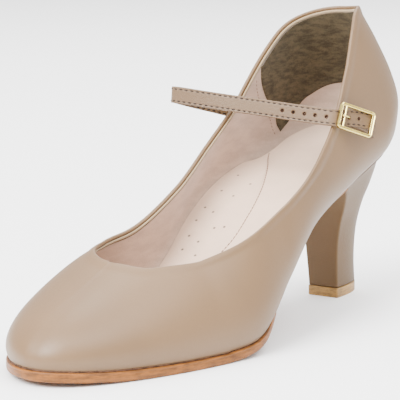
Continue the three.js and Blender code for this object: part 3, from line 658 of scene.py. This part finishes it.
mesh_piece("sock", sock_grid, grid_faces(*sock_grid.shape[:2]), sock_leather, ("insole",))
seam_rows = (s > PAD_SEWN[0]) & (s < PAD_SEWN[1])
points, faces = stitches(seam_line[seam_rows] - (0, 0, 0.05), (0, 0, 1), **PAD_STITCH)
THREAD_PAD = colour(120, 92, 76)
pad_thread = thread("brown_pad_thread", THREAD_PAD)
mesh_piece("pad_seam_stitches", points, faces, pad_thread)


# Outsole
# Orange brown sole leather from the breast of the heel to the toe, with a waxed edge that stands
# out round the forefoot and is thinned and tucked in under the waist.

SOLE = 3.7
WAIST_SOLE = 2.6
WELT = 1.2
WAIST_TUCK = 4.5
GAP = 0.3
SOLE_EDGE = {
    "at": (0.22, 0.36, 0.46, 0.54, 0.60, 0.67, 0.75, 1.00),
    "out": (-0.35, -1.00, -0.80, -0.05, 0.75, 1.00, 1.00, 1.00),
    "thin": (1.0, 1.0, 1.0, 0.5, 0.1, 0.0, 0.0, 0.0),
}
RIM = (
    (-9.0, 0.0), (-0.6, 0.0), (-0.2, 0.03), (0.0, 0.10), (0.02, 0.18), (-0.10, 0.24), (0.0, 0.31),
    (0.03, 0.55), (0.0, 0.80), (-0.12, 0.93), (-0.5, 1.0),
)
SOLE_TAN = colour(112, 66, 20)


def layered_leather(name, tone, gloss):
    """Sole leather cut across its layers: fine level streaks under a waxed edge."""
    material, shader, place = finish(name, 0.42, specular=gloss)
    streaks = place.stretched(1, 1, 9).noise(130, 5, 0.7)
    clouds = place.noise(170, 4, 0.7)
    layers = (streaks * 0.6 + clouds * 0.4).between(0.36, 0.64)
    wear(shader, "Base Color", layers.mix(shade_of(tone, 0.55), shade_of(tone, 1.4)))
    wear(shader, "Roughness", 0.32 + clouds * 0.25)
    relief(shader, streaks, 0.3, 0.0002)
    return material


sole_leather = layered_leather("orange_sole_leather", SOLE_TAN, 0.28)
SOLE_ROWS = 220
start = (BREAST + GAP) / FOOT
s = start + (1 - start) * np.sin(0.5 * math.pi * np.arange(SOLE_ROWS + 1) / SOLE_ROWS)
out = curve(SOLE_EDGE, "at", "out", s)
out = np.where(out > 0, out * WELT, out * WAIST_TUCK)
thin = np.clip(curve(SOLE_EDGE, "at", "thin", s), 0, 1)
thick = SOLE + (WAIST_SOLE - SOLE) * thin


def sole_side(way):
    """Lines of the sole's edge from its hidden top down to its underside."""
    edge = feather_plan(s, way) + outward(s, way) * out[:, None]
    edge[-1] = feather_plan(1.0, 1.0) + np.array([WELT, 0])
    top = feather_height(edge[:, 0]) - GAP
    lines = []
    for inset, down in RIM:
        line = np.concatenate([edge + outward(s, way) * inset, (top - thick * down)[:, None]], 1)
        line[-1, :2] = edge[-1] + np.array([inset, 0])
        lines.append(line)
    return lines


outer_side, inner_side = sole_side(1.0), sole_side(-1.0)
shares = np.linspace(0, 1, 14)[1:-1]
underside = [outer_side[-1] + (inner_side[-1] - outer_side[-1]) * t for t in shares]
grid = np.stack(outer_side + underside + inner_side[::-1], 1)
grid[:, :, 0] = np.maximum(grid[:, :, 0], BREAST + GAP)
mesh_piece("outsole", grid, grid_faces(*grid.shape[:2]), sole_leather, ("outsole",))

# Inked seam in the corner between the upper and the sole, with the gathers of the toe as notches. The dark
# line is partly the ink and partly painted shade in that corner.
SEAM_FROM = 0.50
SEAM_THICK = 0.34
SEAM_OUT = 0.12
SEAM_STEPS = 1800
GATHER = 3.4
GATHERS_FROM = 0.80
seam_s = np.sin(0.5 * math.pi * np.arange(601) / 600) ** 2
stand_out = SEAM_OUT * smooth(0.4, 0.6, seam_s)[:, None]
half_line = [feather_plan(seam_s, way) + outward(seam_s, way) * stand_out for way in (1.0, -1.0)]
half_line[0][-1] = feather_plan(1.0, 1.0) + np.array([SEAM_OUT, 0])
line = np.concatenate([half_line[0], half_line[1][::-1][1:]])
share_at = np.concatenate([seam_s, seam_s[::-1][1:]])
line = np.concatenate([line, (feather_height(line[:, 0]) - 0.02)[:, None]], 1)
runs = runs_along(line)
even = np.linspace(0, runs[-1], SEAM_STEPS + 1)[:-1]
line = at_runs(even, runs, line)
share_at = np.interp(even, runs, share_at)
at_toe = smooth(GATHERS_FROM, GATHERS_FROM + 0.1, share_at)
at_ball = smooth(SEAM_FROM, SEAM_FROM + 0.06, share_at)
at_heel = 1 - smooth(0.19, 0.23, share_at)
notch = np.maximum(0, np.sin(2 * math.pi * even / GATHER)) ** 3 * at_toe
radius = 0.01 + SEAM_THICK * (0.45 * at_heel + 0.7 * at_ball + 0.3 * at_toe + 0.55 * notch)
along = unit(np.gradient(line, axis=0))
beside = unit(np.cross(along, np.array([0.0, 0.0, 1.0])))
grid = tube(line, beside, np.cross(beside, along), radius, 8)
# Dark brown of the seam line: partly the real ink, partly painted shade in the corner between the upper and
# the sole
INK_AND_SHADE_BROWN = colour(66, 43, 30)
seam_ink_and_shade, shader, place = finish("inked_and_shaded_sole_seam", 0.7, specular=0.2)
ink_and_shade_mottle = place.noise(400, 2, 0.6).between(0.35, 0.65)
wear(shader, "Base Color", ink_and_shade_mottle.mix(shade_of(INK_AND_SHADE_BROWN, 0.62), shade_of(INK_AND_SHADE_BROWN, 1.58)))
seam_faces = grid_faces(*grid.shape[:2], closed_rows=True, closed_columns=True)
mesh_piece("sole_seam", grid, seam_faces, seam_ink_and_shade)


# Heel and top lift
# Moulded heel covered in the upper's leather, with a flat breast and a rounded back, and under
# it the lift of light stacked leather that stands on the floor.

HEEL_INSET = 0.8
TIP_WIDTH = 14.8
LIFT = 4.3
TIP_POWER = 2.2
BREAST_CORNER = 0.9
CORNER_POINTS = 6
BREAST_POINTS = CORNER_POINTS + 2
HEEL = {
    "level": (0.00, 0.08, 0.16, 0.28, 0.42, 0.58, 0.74, 0.88, 1.00),
    "front": (1.000, 0.885, 0.790, 0.700, 0.655, 0.640, 0.634, 0.626, TIP_FRONT),
    "rear": (0.017, -0.020, -0.042, -0.040, 0.022, 0.095, 0.136, 0.142, TIP_REAR),
    "width": (1.000, 0.835, 0.710, 0.560, 0.430, 0.354, 0.325, 0.310, 0.303),
    "blend": (0.0, 0.03, 0.06, 0.2, 0.5, 0.85, 1.0, 1.0, 1.0),
}


def heel_outline(level, grow):
    """Half the heel's outline at a level, from the middle of the breast round to the back."""
    front = BREAST * curve(HEEL, "level", "front", level) + grow
    rear = BREAST * curve(HEEL, "level", "rear", level) - grow
    seat = section(BREAST / FOOT)
    seat_half = (seat["outer"] + seat["inner"]) / 2 - HEEL_INSET
    tip = HEEL["width"][-1]
    narrowed = (curve(HEEL, "level", "width", level) - tip) / (1 - tip)
    half = TIP_WIDTH / 2 + (seat_half - TIP_WIDTH / 2) * narrowed + grow
    blend = np.clip(curve(HEEL, "level", "blend", level), 0, 1)
    back = np.sin(0.5 * math.pi * np.linspace(0, 1, 41)) ** (2 / TIP_POWER)
    part = section(BREAST * (1 - back) / FOOT)
    seat_shape = (part["outer"] + part["inner"]) / (seat["outer"] + seat["inner"])
    tip_shape = np.maximum(0, 1 - back**TIP_POWER) ** (1 / TIP_POWER)
    y = half * (seat_shape + (tip_shape - seat_shape) * blend)
    x = front + (rear - front) * back
    centre = part["centre"] + (HEEL_SHIFT - part["centre"]) * level
    r = BREAST_CORNER
    turn = np.linspace(0, math.pi / 2, CORNER_POINTS)
    keep = x < front - r - 0.2
    xs = np.concatenate([[front, front], front - r + r * np.cos(turn), x[keep]])
    ys = np.concatenate([[0, 0.5 * (y[0] - r)], y[0] - r + r * np.sin(turn), y[keep]])
    return xs, ys, np.concatenate([np.full(BREAST_POINTS, centre[0]), centre[keep]])


def heel_height(level, xs):
    """Height of a level of the heel, whose top follows the feather line."""
    front = BREAST * curve(HEEL, "level", "front", level)
    rear = BREAST * curve(HEEL, "level", "rear", level)
    back = np.clip((front - xs) / (front - rear), 0, 1)
    top = feather_height(BREAST * (1 - back * (1 - HEEL["rear"][0]))) - GAP
    return top + (LIFT + GAP - top) * level


def heel_skin(levels, grows, heights=None):
    """Rings of the heel at even places round it; heights, where given, are level ones."""
    rings = []
    for i, (level, grow) in enumerate(zip(levels, grows)):
        xs, ys, cs = heel_outline(level, grow)
        runs = runs_along(np.stack([xs, ys], 1))
        breast, rest = runs[:BREAST_POINTS], runs[-1] - runs[BREAST_POINTS]
        even = np.concatenate([breast, runs[BREAST_POINTS] + rest * np.linspace(0, 1, 48) ** 0.9])
        xs, ys, cs = (np.interp(even, runs, values) for values in (xs, ys, cs))
        z = heel_height(level, xs) if heights is None else np.full(len(xs), float(heights[i]))
        outer_half = np.stack([xs, cs + ys, z], 1)
        inner_half = np.stack([xs, cs - ys, z], 1)
        rings.append(np.concatenate([outer_half, inner_half[1:-1][::-1]]))
    return np.stack(rings)


# The heel cover is the upper's leather painted a darker tan: painted shade for the heel, which stands in the
# shade under the shoe
HEEL_SHADED_TAN = colour(92, 70, 45)
HEEL_LEVELS = 61
shaded_heel_leather = tan_leather("shaded_tan_heel_cover", HEEL_SHADED_TAN, 0.5, 0.25, gloss=0.2)
levels = np.concatenate([[0], np.linspace(0, 1, HEEL_LEVELS), [1]])
grid = heel_skin(levels, [-1.5] + [0] * HEEL_LEVELS + [-1.5])
mesh_piece("heel_cover", grid, closed_rings(grid), shaded_heel_leather, ("heel",))
LIFT_TAN = colour(146, 110, 56)
LIFT_RINGS = {"out": (-1.2, 0.05, 0.2, 0.2, 0.1, -1.2), "height": (LIFT, LIFT, LIFT - 0.15, 0.5, 0, 0)}
lift_leather = layered_leather("light_lift_leather", LIFT_TAN, 0.4)
grid = heel_skin([1] * 6, LIFT_RINGS["out"], LIFT_RINGS["height"])
mesh_piece("top_lift", grid, closed_rings(grid), lift_leather, ("top_lift",), False)


# Strap
# Narrow band of tan leather, two layers stitched along both edges in dark brown. It is sewn on
# inside the instep, stands out in a bend, and crosses the foot to the buckle with a row of holes.

STRAP_WIDTH = 7
STRAP = 1.8
HOLE_PITCH = 4.9
HOLE = 1.5
HOLE_ROUND = 0.22
HOLE_COUNT = 8
STRAP_END = 8.4
BEND = np.array([78, -45.5, 91.2])
TURN = 4.4
BEND_TURNS = ((-0.5, 0.18, -0.1), (0.05, 0.32, 0), (0.18, 1, 0))
STRAP_TILT = 0.26
FRAME_LENGTH = 17.4
FRAME_HEIGHT = 11.2
FRAME = 1.4
PRONG_AT = -3.2
BUCKLE_STAND = 6
STRAP_DEPTH = -(FRAME / 2 + GAP + STRAP / 2)
SEWN = {"row": (2.2, 2.4, 2.58), "v": (0.42, 0.55, 0.66), "off": (1, 1, 1.7)}
STITCH_INSET = 0.95
STRAP_STITCH = {"pitch": 2.5, "length": 1.7, "thick": 0.43}
BUCKLE_PLACE = {"row": 2.595, "v": 0.84}


def off_wall(place_row, way, v, distance):
    """Place on the upper's outer face, moved off it by a distance, and the way out of it."""
    inner, out = lining_face(place_row, way, v)
    return inner + out * (WALL + LINING_OFF + distance), out


ALONG = unit(np.array([-0.83, 0.45, -0.33]))
UP = np.array([-0.36, 0, 0.93])
UP = unit(UP - ALONG * np.dot(UP, ALONG))
OUT = unit(np.cross(ALONG, UP))
BUCKLE_CENTRE, _ = off_wall(BUCKLE_PLACE["row"], 1.0, BUCKLE_PLACE["v"], BUCKLE_STAND)


def at_buckle(a, b, c):
    """A place by the buckle's own axes: along the strap, up across it, and out of the shoe."""
    return BUCKLE_CENTRE + ALONG * a + UP * b + OUT * c


def under_frame(a, depth):
    """Place in the middle of the strap where it passes behind the buckle's frame."""
    return at_buckle(a, min(2, STRAP_TILT * (a - PRONG_AT)), STRAP_DEPTH - depth)


def even_path(points, ups, steps):
    """Smooth path through points, at even steps, with the directions across it and out of it."""
    points = np.array(points, float)
    ups = np.array(ups, float)
    p = np.vstack([2 * points[0] - points[1], points, 2 * points[-1] - points[-2]])
    q = np.vstack([2 * ups[0] - ups[1], ups, 2 * ups[-1] - ups[-2]])
    t = (np.arange(200) / 200)[:, None]
    h = (2 * t**3 - 3 * t**2 + 1, t**3 - 2 * t**2 + t, 3 * t**2 - 2 * t**3, t**3 - t**2)
    centres, crosses = [], []
    for i in range(len(points) - 1):
        a, b, c = (max(1e-4, float(np.sum((p[i + k + 1] - p[i + k]) ** 2)) ** 0.25) for k in range(3))
        leave = ((p[i + 1] - p[i]) / a - (p[i + 2] - p[i]) / (a + b) + (p[i + 2] - p[i + 1]) / b) * b
        reach = ((p[i + 2] - p[i + 1]) / b - (p[i + 3] - p[i + 1]) / (b + c) + (p[i + 3] - p[i + 2]) / c) * b
        centres.append(h[0] * p[i + 1] + h[1] * leave + h[2] * p[i + 2] + h[3] * reach)
        turns = ((q[i + 2] - q[i]) / 2, (q[i + 3] - q[i + 1]) / 2)
        crosses.append(h[0] * q[i + 1] + h[1] * turns[0] + h[2] * q[i + 2] + h[3] * turns[1])
    centres = np.vstack(centres + [points[-1:]])
    crosses = np.vstack(crosses + [ups[-1:]])
    runs = runs_along(centres)
    even = np.linspace(0, runs[-1], steps + 1)
    centre = at_runs(even, runs, centres)
    cross = at_runs(even, runs, crosses)
    tangent = unit(np.gradient(centre, axis=0))
    cross = unit(cross - tangent * np.sum(cross * tangent, 1, keepdims=True))
    return centre, cross, np.cross(tangent, cross), runs[-1]


def across_wall(place_row, way, v, after):
    """Direction across a band on the wall that runs on to the point after."""
    out = off_wall(place_row, way, v, 0)[1]
    across = unit(np.cross(out, after - outer_face(place_row, way, v)))
    return -across if across[2] < 0 else across


left = -FRAME_LENGTH / 2
corner = under_frame(left - 2.4, 0.4)
sewn = [
    off_wall(place_row, -1.0, v, off * (GAP + STRAP / 2))[0]
    for place_row, v, off in zip(SEWN["row"], SEWN["v"], SEWN["off"])
]
route = sewn + [sewn[2] + (BEND - sewn[2]) * part for part in (0.35, 0.7)]
route += [BEND + TURN * np.array(shift) for shift in BEND_TURNS]
route += [BEND + (corner - BEND) * part for part in (0.3, 0.6, 0.84)]
route += [under_frame(left - 1.2, 0.2), under_frame(left + 1.5, 0)]
route += [under_frame(0, 0), under_frame(STRAP_END, 0)]
ups = [across_wall(SEWN["row"][i], -1.0, SEWN["v"][i], route[i + 1]) for i in range(3)]
ups += [np.array([-0.05, 0.04, 1])] * 5 + [np.array([-0.2, 0, 0.98])] * 3 + [UP] * 4
STRAP_STEPS = 600
strap_centre, strap_up, strap_face, strap_length = even_path(route, ups, STRAP_STEPS)
FACE_STEPS = 30
EDGE_POINTS = 4


def band_outline(width, thick, steps):
    """Outline of a band: its front face, an edge, its back face, an edge; up and out."""
    level = np.linspace(-1, 1, steps + 1) * (width / 2 - 0.22)
    groove = 0.10 * np.exp(-(((np.abs(level) - width / 2 + STITCH_INSET) / 0.28) ** 2))
    front = np.stack([level, thick / 2 - groove], 1)
    edge = np.array([(width / 2 - 0.06, thick / 2 - 0.07), (width / 2, thick / 2 - 0.25)])
    side = np.concatenate([edge, edge[::-1] * (1, -1)])
    back = front[::-1] * (1, -1)
    return np.concatenate([front, side, back, -side])


def square_loop(reach):
    """Places round a square, one after another."""
    line = range(-reach, reach)
    return (
        [(a, -reach) for a in line]
        + [(reach, a) for a in line]
        + [(-a, reach) for a in line]
        + [(-reach, -a) for a in line]
    )


def punched(grid, holes, steps, radius, along, up, out):
    """Points and faces of a band with round holes through its two broad faces."""
    rows, columns = grid.shape[:2]
    points = [grid.reshape(-1, 3)]
    quads = {tuple(quad) for quad in grid_faces(rows, columns, closed_columns=True)}
    count = rows * columns
    reach = 5
    back_first = steps + 1 + EDGE_POINTS
    faces = []
    for i in holes:
        loops = []
        for first, flip in ((0, 1), (back_first, -1)):
            j = first + steps // 2
            box = [(i + a, j + flip * b) for a, b in square_loop(reach)]
            cells = {(i + a, j + b) for a in range(-reach, reach) for b in range(-reach, reach)}
            quads -= {
                (a * columns + b, a * columns + b + 1, (a + 1) * columns + b + 1, (a + 1) * columns + b)
                for a, b in cells
            }
            rim = np.array([grid[a, b] for a, b in box])
            heart = grid[i, j]
            way = np.stack([(rim - heart) @ along[i], (rim - heart) @ up[i]], 1)
            way /= np.linalg.norm(way, axis=1, keepdims=True)
            inward = out[i] * (-1 if first == 0 else 1)
            rings = [[a * columns + b for a, b in box]]
            for wide, deep in ((radius + HOLE_ROUND, 0.0), (radius, 0.16)):
                ring = heart + (way[:, :1] * along[i] + way[:, 1:] * up[i]) * wide + inward * deep
                points.append(ring)
                rings.append(list(range(count, count + len(ring))))
                count += len(ring)
            loops.append(rings)
        walls = [(loop[k], loop[k + 1]) for loop in loops[:2] for k in (0, 1)]
        walls.append((loops[0][2], loops[1][2]))
        for one, other in walls:
            size = len(one)
            faces += [[one[k], one[(k + 1) % size], other[(k + 1) % size], other[k]] for k in range(size)]
    ends = [list(range(columns)), list(range((rows - 1) * columns, rows * columns))[::-1]]
    return np.concatenate(points), [list(quad) for quad in quads] + faces + ends


runs = np.linspace(0, strap_length, STRAP_STEPS + 1)
TIP_ROUND = 1.8
to_tip = np.clip((runs - (strap_length - TIP_ROUND)) / TIP_ROUND, 0, 0.97)
narrow = (1 - to_tip**3) ** (1 / 3)
outline = band_outline(STRAP_WIDTH, STRAP, FACE_STEPS)
grid = (
    strap_centre[:, None]
    + strap_up[:, None] * outline[None, :, :1] * narrow[:, None, None]
    + strap_face[:, None] * outline[None, :, 1:]
)
first_hole = strap_length - (STRAP_END - (PRONG_AT + HOLE_PITCH))
hole_runs = [first_hole - k * HOLE_PITCH for k in range(HOLE_COUNT)]
hole_rows = [int(round(run / strap_length * STRAP_STEPS)) for run in hole_runs]
strap_along = np.cross(strap_up, strap_face)
points, faces = punched(grid, hole_rows, FACE_STEPS, HOLE / 2, strap_along, strap_up, strap_face)
STRAP_TAN = colour(94, 71, 46)
# Dark brown in the strap's holes: the cut edge of the leather and painted shade inside each hole
HOLE_SHADE_BROWN = colour(62, 42, 32)
strap_leather = tan_leather("tan_strap_leather", STRAP_TAN, 0.5, 0.35)
mesh_piece("strap", points, faces, strap_leather, ("strap",))
hole_edge_and_shade, shader, place = finish("dark_hole_edge_and_shade", 0.8, specular=0.2)
raw_edge_and_shade = place.noise(900, 2, 0.6).between(0.3, 0.7)
wear(shader, "Base Color", raw_edge_and_shade.mix(shade_of(HOLE_SHADE_BROWN, 0.7), shade_of(HOLE_SHADE_BROWN, 1.2)))
# Each tube narrows almost shut at the middle of the strap, a dark plug of painted shade in the hole
HOLE_DEPTHS = np.array([-0.344, -0.111, 0.0, 0.111, 0.344])
HOLE_WIDTHS = np.array([0.98, 0.85, 0.25, 0.85, 0.98])
HOLE_SIDES = 20
tubes, tube_faces = [], []
for i in hole_rows:
    middle = strap_centre[i] + strap_face[i] * STRAP * HOLE_DEPTHS[:, None]
    beside, above = np.tile(strap_along[i], (5, 1)), np.tile(strap_up[i], (5, 1))
    rings = tube(middle, beside, above, HOLE_WIDTHS * HOLE / 2, HOLE_SIDES)
    base = len(tubes) * len(HOLE_DEPTHS) * HOLE_SIDES
    ring_faces = grid_faces(len(HOLE_DEPTHS), HOLE_SIDES, closed_columns=True)
    tube_faces += [[base + k for k in face] for face in ring_faces]
    tubes.append(rings.reshape(-1, 3))
mesh_piece("strap_hole_edges_and_shade", np.concatenate(tubes), tube_faces, hole_edge_and_shade)
THREAD_BROWN = colour(30, 17, 11)
brown_thread = thread("dark_brown_thread", THREAD_BROWN)
ROWS = (("upper_front", 1, 1), ("lower_front", -1, 1), ("upper_back", 1, -1), ("lower_back", -1, -1))
for word, way, face in ROWS:
    row_up = way * (STRAP_WIDTH / 2 - STITCH_INSET)
    line = strap_centre + strap_up * row_up * narrow[:, None] + strap_face * face * (STRAP / 2 - 0.08)
    points, faces = stitches(line[8:-8], strap_face[8:-8] * face, **STRAP_STITCH)
    mesh_piece(f"{word}_strap_stitches", points, faces, brown_thread)


# Buckle tab
# Short band of the strap's leather sewn flat on the outer wall, which holds the buckle. It is
# stitched along both edges as the strap is.

TAB = 1.4
TAB_WIDTH = 7
TAB_STITCH = {"pitch": 2.5, "length": 1.7, "thick": 0.30}
TAB_PLACES = {"row": (2.2, 2.32, 2.44, 2.55), "v": (0.4, 0.54, 0.7, 0.86)}
places = list(zip(TAB_PLACES["row"], TAB_PLACES["v"]))
route = [off_wall(place_row, 1.0, v, GAP + TAB / 2)[0] for place_row, v in places]
after = route[1:] + [2 * route[-1] - route[-2]]
ups = [across_wall(place_row, 1.0, v, next_point) for (place_row, v), next_point in zip(places, after)]
tab_centre, tab_up, tab_face, _ = even_path(route, ups, 80)
outline = band_outline(TAB_WIDTH, TAB, 24)
grid = tab_centre[:, None] + tab_up[:, None] * outline[:, :1] + tab_face[:, None] * outline[:, 1:]
mesh_piece("buckle_tab", grid, closed_rings(grid), strap_leather, ("buckle_tab",))
tab_out = tab_face * (1 if np.dot(tab_face[40], off_wall(2.4, 1.0, 0.6, 0)[1]) > 0 else -1)
for word, way in (("upper", 1), ("lower", -1)):
    line = tab_centre + tab_up * way * (TAB_WIDTH / 2 - STITCH_INSET) + tab_out * (TAB / 2 - 0.08)
    points, faces = stitches(line[4:-4], tab_out[4:-4], **TAB_STITCH)
    mesh_piece(f"{word}_tab_stitches", points, faces, brown_thread)


# Buckle
# Cast rectangle plated in pale gold: a frame whose bars have two bevelled lines, a hinge bar
# beside its front bar, and on that the prong, which goes down through its hole in the strap.

BAR = 1.5
LEFT_BAR = 1.1
SLOT = 1.3
HINGE_BAR = 0.9
CORNER = 1.6
PRONG = 0.7
PRONG_TIP = 0.55
BEVEL = (
    (0.0, -0.5), (0.0, 0.18), (0.12, 0.42), (0.28, 0.5), (0.44, 0.30), (0.56, 0.30),
    (0.72, 0.5), (0.88, 0.42), (1.0, 0.18), (1.0, -0.5),
)


def plating(name, tone):
    """Thin bright plating with the small unevenness of a cast and polished part."""
    material, shader, place = finish(name, 0.2, 1.0)
    uneven = place.noise(260, 2, 0.5)
    wear(shader, "Base Color", uneven.between(0.3, 0.7).mix(shade_of(tone, 0.92), shade_of(tone, 1.04)))
    wear(shader, "Roughness", 0.14 + uneven * 0.16)
    relief(shader, uneven, 0.25, 0.0002)
    return material


def rounded_loop(low_a, high_a, low_b, high_b, radius):
    """Corner points round a rectangle, eight to a corner."""
    turned = np.linspace(0, math.pi / 2, 8)
    places = []
    corners = ((high_a, high_b, 0), (low_a, high_b, 1), (low_a, low_b, 2), (high_a, low_b, 3))
    for a, b, quarter in corners:
        angle = turned + quarter * math.pi / 2
        middle = (a - math.copysign(radius, a), b - math.copysign(radius, b))
        places += [(middle[0] + radius * math.cos(k), middle[1] + radius * math.sin(k)) for k in angle]
    return np.array(places)


PALE_GOLD = colour(214, 194, 118)
gold = plating("pale_gold_plating", PALE_GOLD)
half_a, half_b = FRAME_LENGTH / 2, FRAME_HEIGHT / 2
outer_loop = rounded_loop(-half_a, half_a, -half_b, half_b, CORNER)
inner_loop = rounded_loop(-half_a + LEFT_BAR, half_a - BAR, -half_b + BAR, half_b - BAR, 0.5)
grid = np.stack([
    np.stack([at_buckle(a, b, FRAME * high) for a, b in outer_loop + (inner_loop - outer_loop) * part])
    for part, high in BEVEL
])
frame_faces = grid_faces(*grid.shape[:2], closed_rows=True, closed_columns=True)
frame_points = grid.reshape(-1, 3)
hinge = -half_a + LEFT_BAR + SLOT + HINGE_BAR / 2
around = np.arange(12) / 12 * 2 * math.pi
bar = np.stack([
    np.stack([at_buckle(hinge + HINGE_BAR / 2 * math.cos(k), b, FRAME * 0.42 * math.sin(k)) for k in around])
    for b in np.linspace(-half_b + BAR - 0.3, half_b - BAR + 0.3, 4)
])
bar_faces = [[k + len(frame_points) for k in face] for face in closed_rings(bar)]
points = np.concatenate([frame_points, bar.reshape(-1, 3)])
mesh_piece("buckle_frame", points, frame_faces + bar_faces, gold, ("buckle_frame",), False)
PRONG_LINE = {
    "reach": (-0.28, -0.32, -0.20, 0.0, 0.25, 0.48, 0.72, 0.90, 0.98, 1.0),
    "c": (-0.25, 0.2, 0.66, 0.86, 0.84, 0.70, 0.40, -0.25, -1.0, -1.9),
}
reaches = [hinge + (PRONG_AT - hinge) * reach for reach in PRONG_LINE["reach"]]
prong_line = np.array([at_buckle(a, 0, c) for a, c in zip(reaches, PRONG_LINE["c"])])
line, beside, above, _ = even_path(prong_line, [UP] * len(prong_line), 40)
radius = PRONG / 2 * np.interp(np.arange(41), (0, 33, 40), (1, 1, PRONG_TIP))
grid = tube(line, beside, above, radius, 12)
mesh_piece("buckle_prong", grid, closed_rings(grid), gold, ("buckle_prong",))


# Floor, lights and camera
# A plain pale floor in soft studio light from all round and from three large square lamps, seen
# from the photograph's angle.

FLOOR_HALF = 4.0
FLOOR_CORNERS = [(-1, -1), (1, -1), (1, 1), (-1, 1)]
floor_mesh = bpy.data.meshes.new("floor")
floor_points = [(x * FLOOR_HALF, y * FLOOR_HALF, 0) for x, y in FLOOR_CORNERS]
floor_mesh.from_pydata(floor_points, [], [(0, 1, 2, 3)])
floor = bpy.data.objects.new("floor", floor_mesh)
bpy.context.scene.collection.objects.link(floor)
floor_paint, floor_shader, place = finish("pale_floor", 0.8, specular=0.1)
wear(floor_shader, "Base Color", place.noise(3, 2, 0.5).mix((0.93, 0.93, 0.93, 1), (0.96, 0.96, 0.96, 1)))
floor_mesh.materials.append(floor_paint)

world = bpy.data.worlds.new("studio")
bpy.context.scene.world = world
world.use_nodes = True
sky = Shade(world.node_tree).node("ShaderNodeTexCoord", output=0).axis("Z").between(0.45, 0.95)
background = world.node_tree.nodes["Background"]
wear(background, "Color", sky.mix((0.42, 0.42, 0.42, 1), (1, 1, 1, 1)))
background.inputs["Strength"].default_value = 3.4

CAMERA_AT = (35.48, 9.09)
CAMERA_ROLL = 0.35
CAMERA_FAR = 724.3
CAMERA_FOCUS = 1819.8
TARGET = (np.array([121.06, -0.01, 55.15]) - ORIGIN) / 1000


def way_to(azimuth, elevation):
    """Direction from the shoe to a light or the camera."""
    a, e = math.radians(azimuth), math.radians(elevation)
    return Vector((math.cos(a) * math.cos(e), math.sin(a) * math.cos(e), math.sin(e)))


def studio_light(name, azimuth, elevation, distance, width, power):
    """A soft square light aimed at the shoe."""
    lamp = bpy.data.lights.new(name, "AREA")
    lamp.energy = power
    lamp.size = width
    light = bpy.data.objects.new(name, lamp)
    way = way_to(azimuth, elevation)
    light.location = Vector(TARGET) + way * distance
    light.rotation_euler = way.to_track_quat("Z", "Y").to_euler()
    bpy.context.scene.collection.objects.link(light)


studio_light("key", -8, 42, 2.2, 1.3, 150)
studio_light("fill", 75, 52, 2.2, 1.4, 50)
studio_light("back", 205, 55, 2.4, 1.4, 55)

lens = bpy.data.cameras.new("camera")
lens.sensor_width = 36
lens.lens = 36 * CAMERA_FOCUS / 400
lens.clip_start = 0.01
lens.clip_end = 20
camera = bpy.data.objects.new("camera", lens)
way = way_to(*CAMERA_AT)
camera.location = Vector(TARGET) + way * (CAMERA_FAR / 1000)
camera.rotation_euler = way.to_track_quat("Z", "Y").to_euler()
camera.rotation_euler.rotate_axis("Z", math.radians(-CAMERA_ROLL))
bpy.context.scene.collection.objects.link(camera)
bpy.context.scene.camera = camera
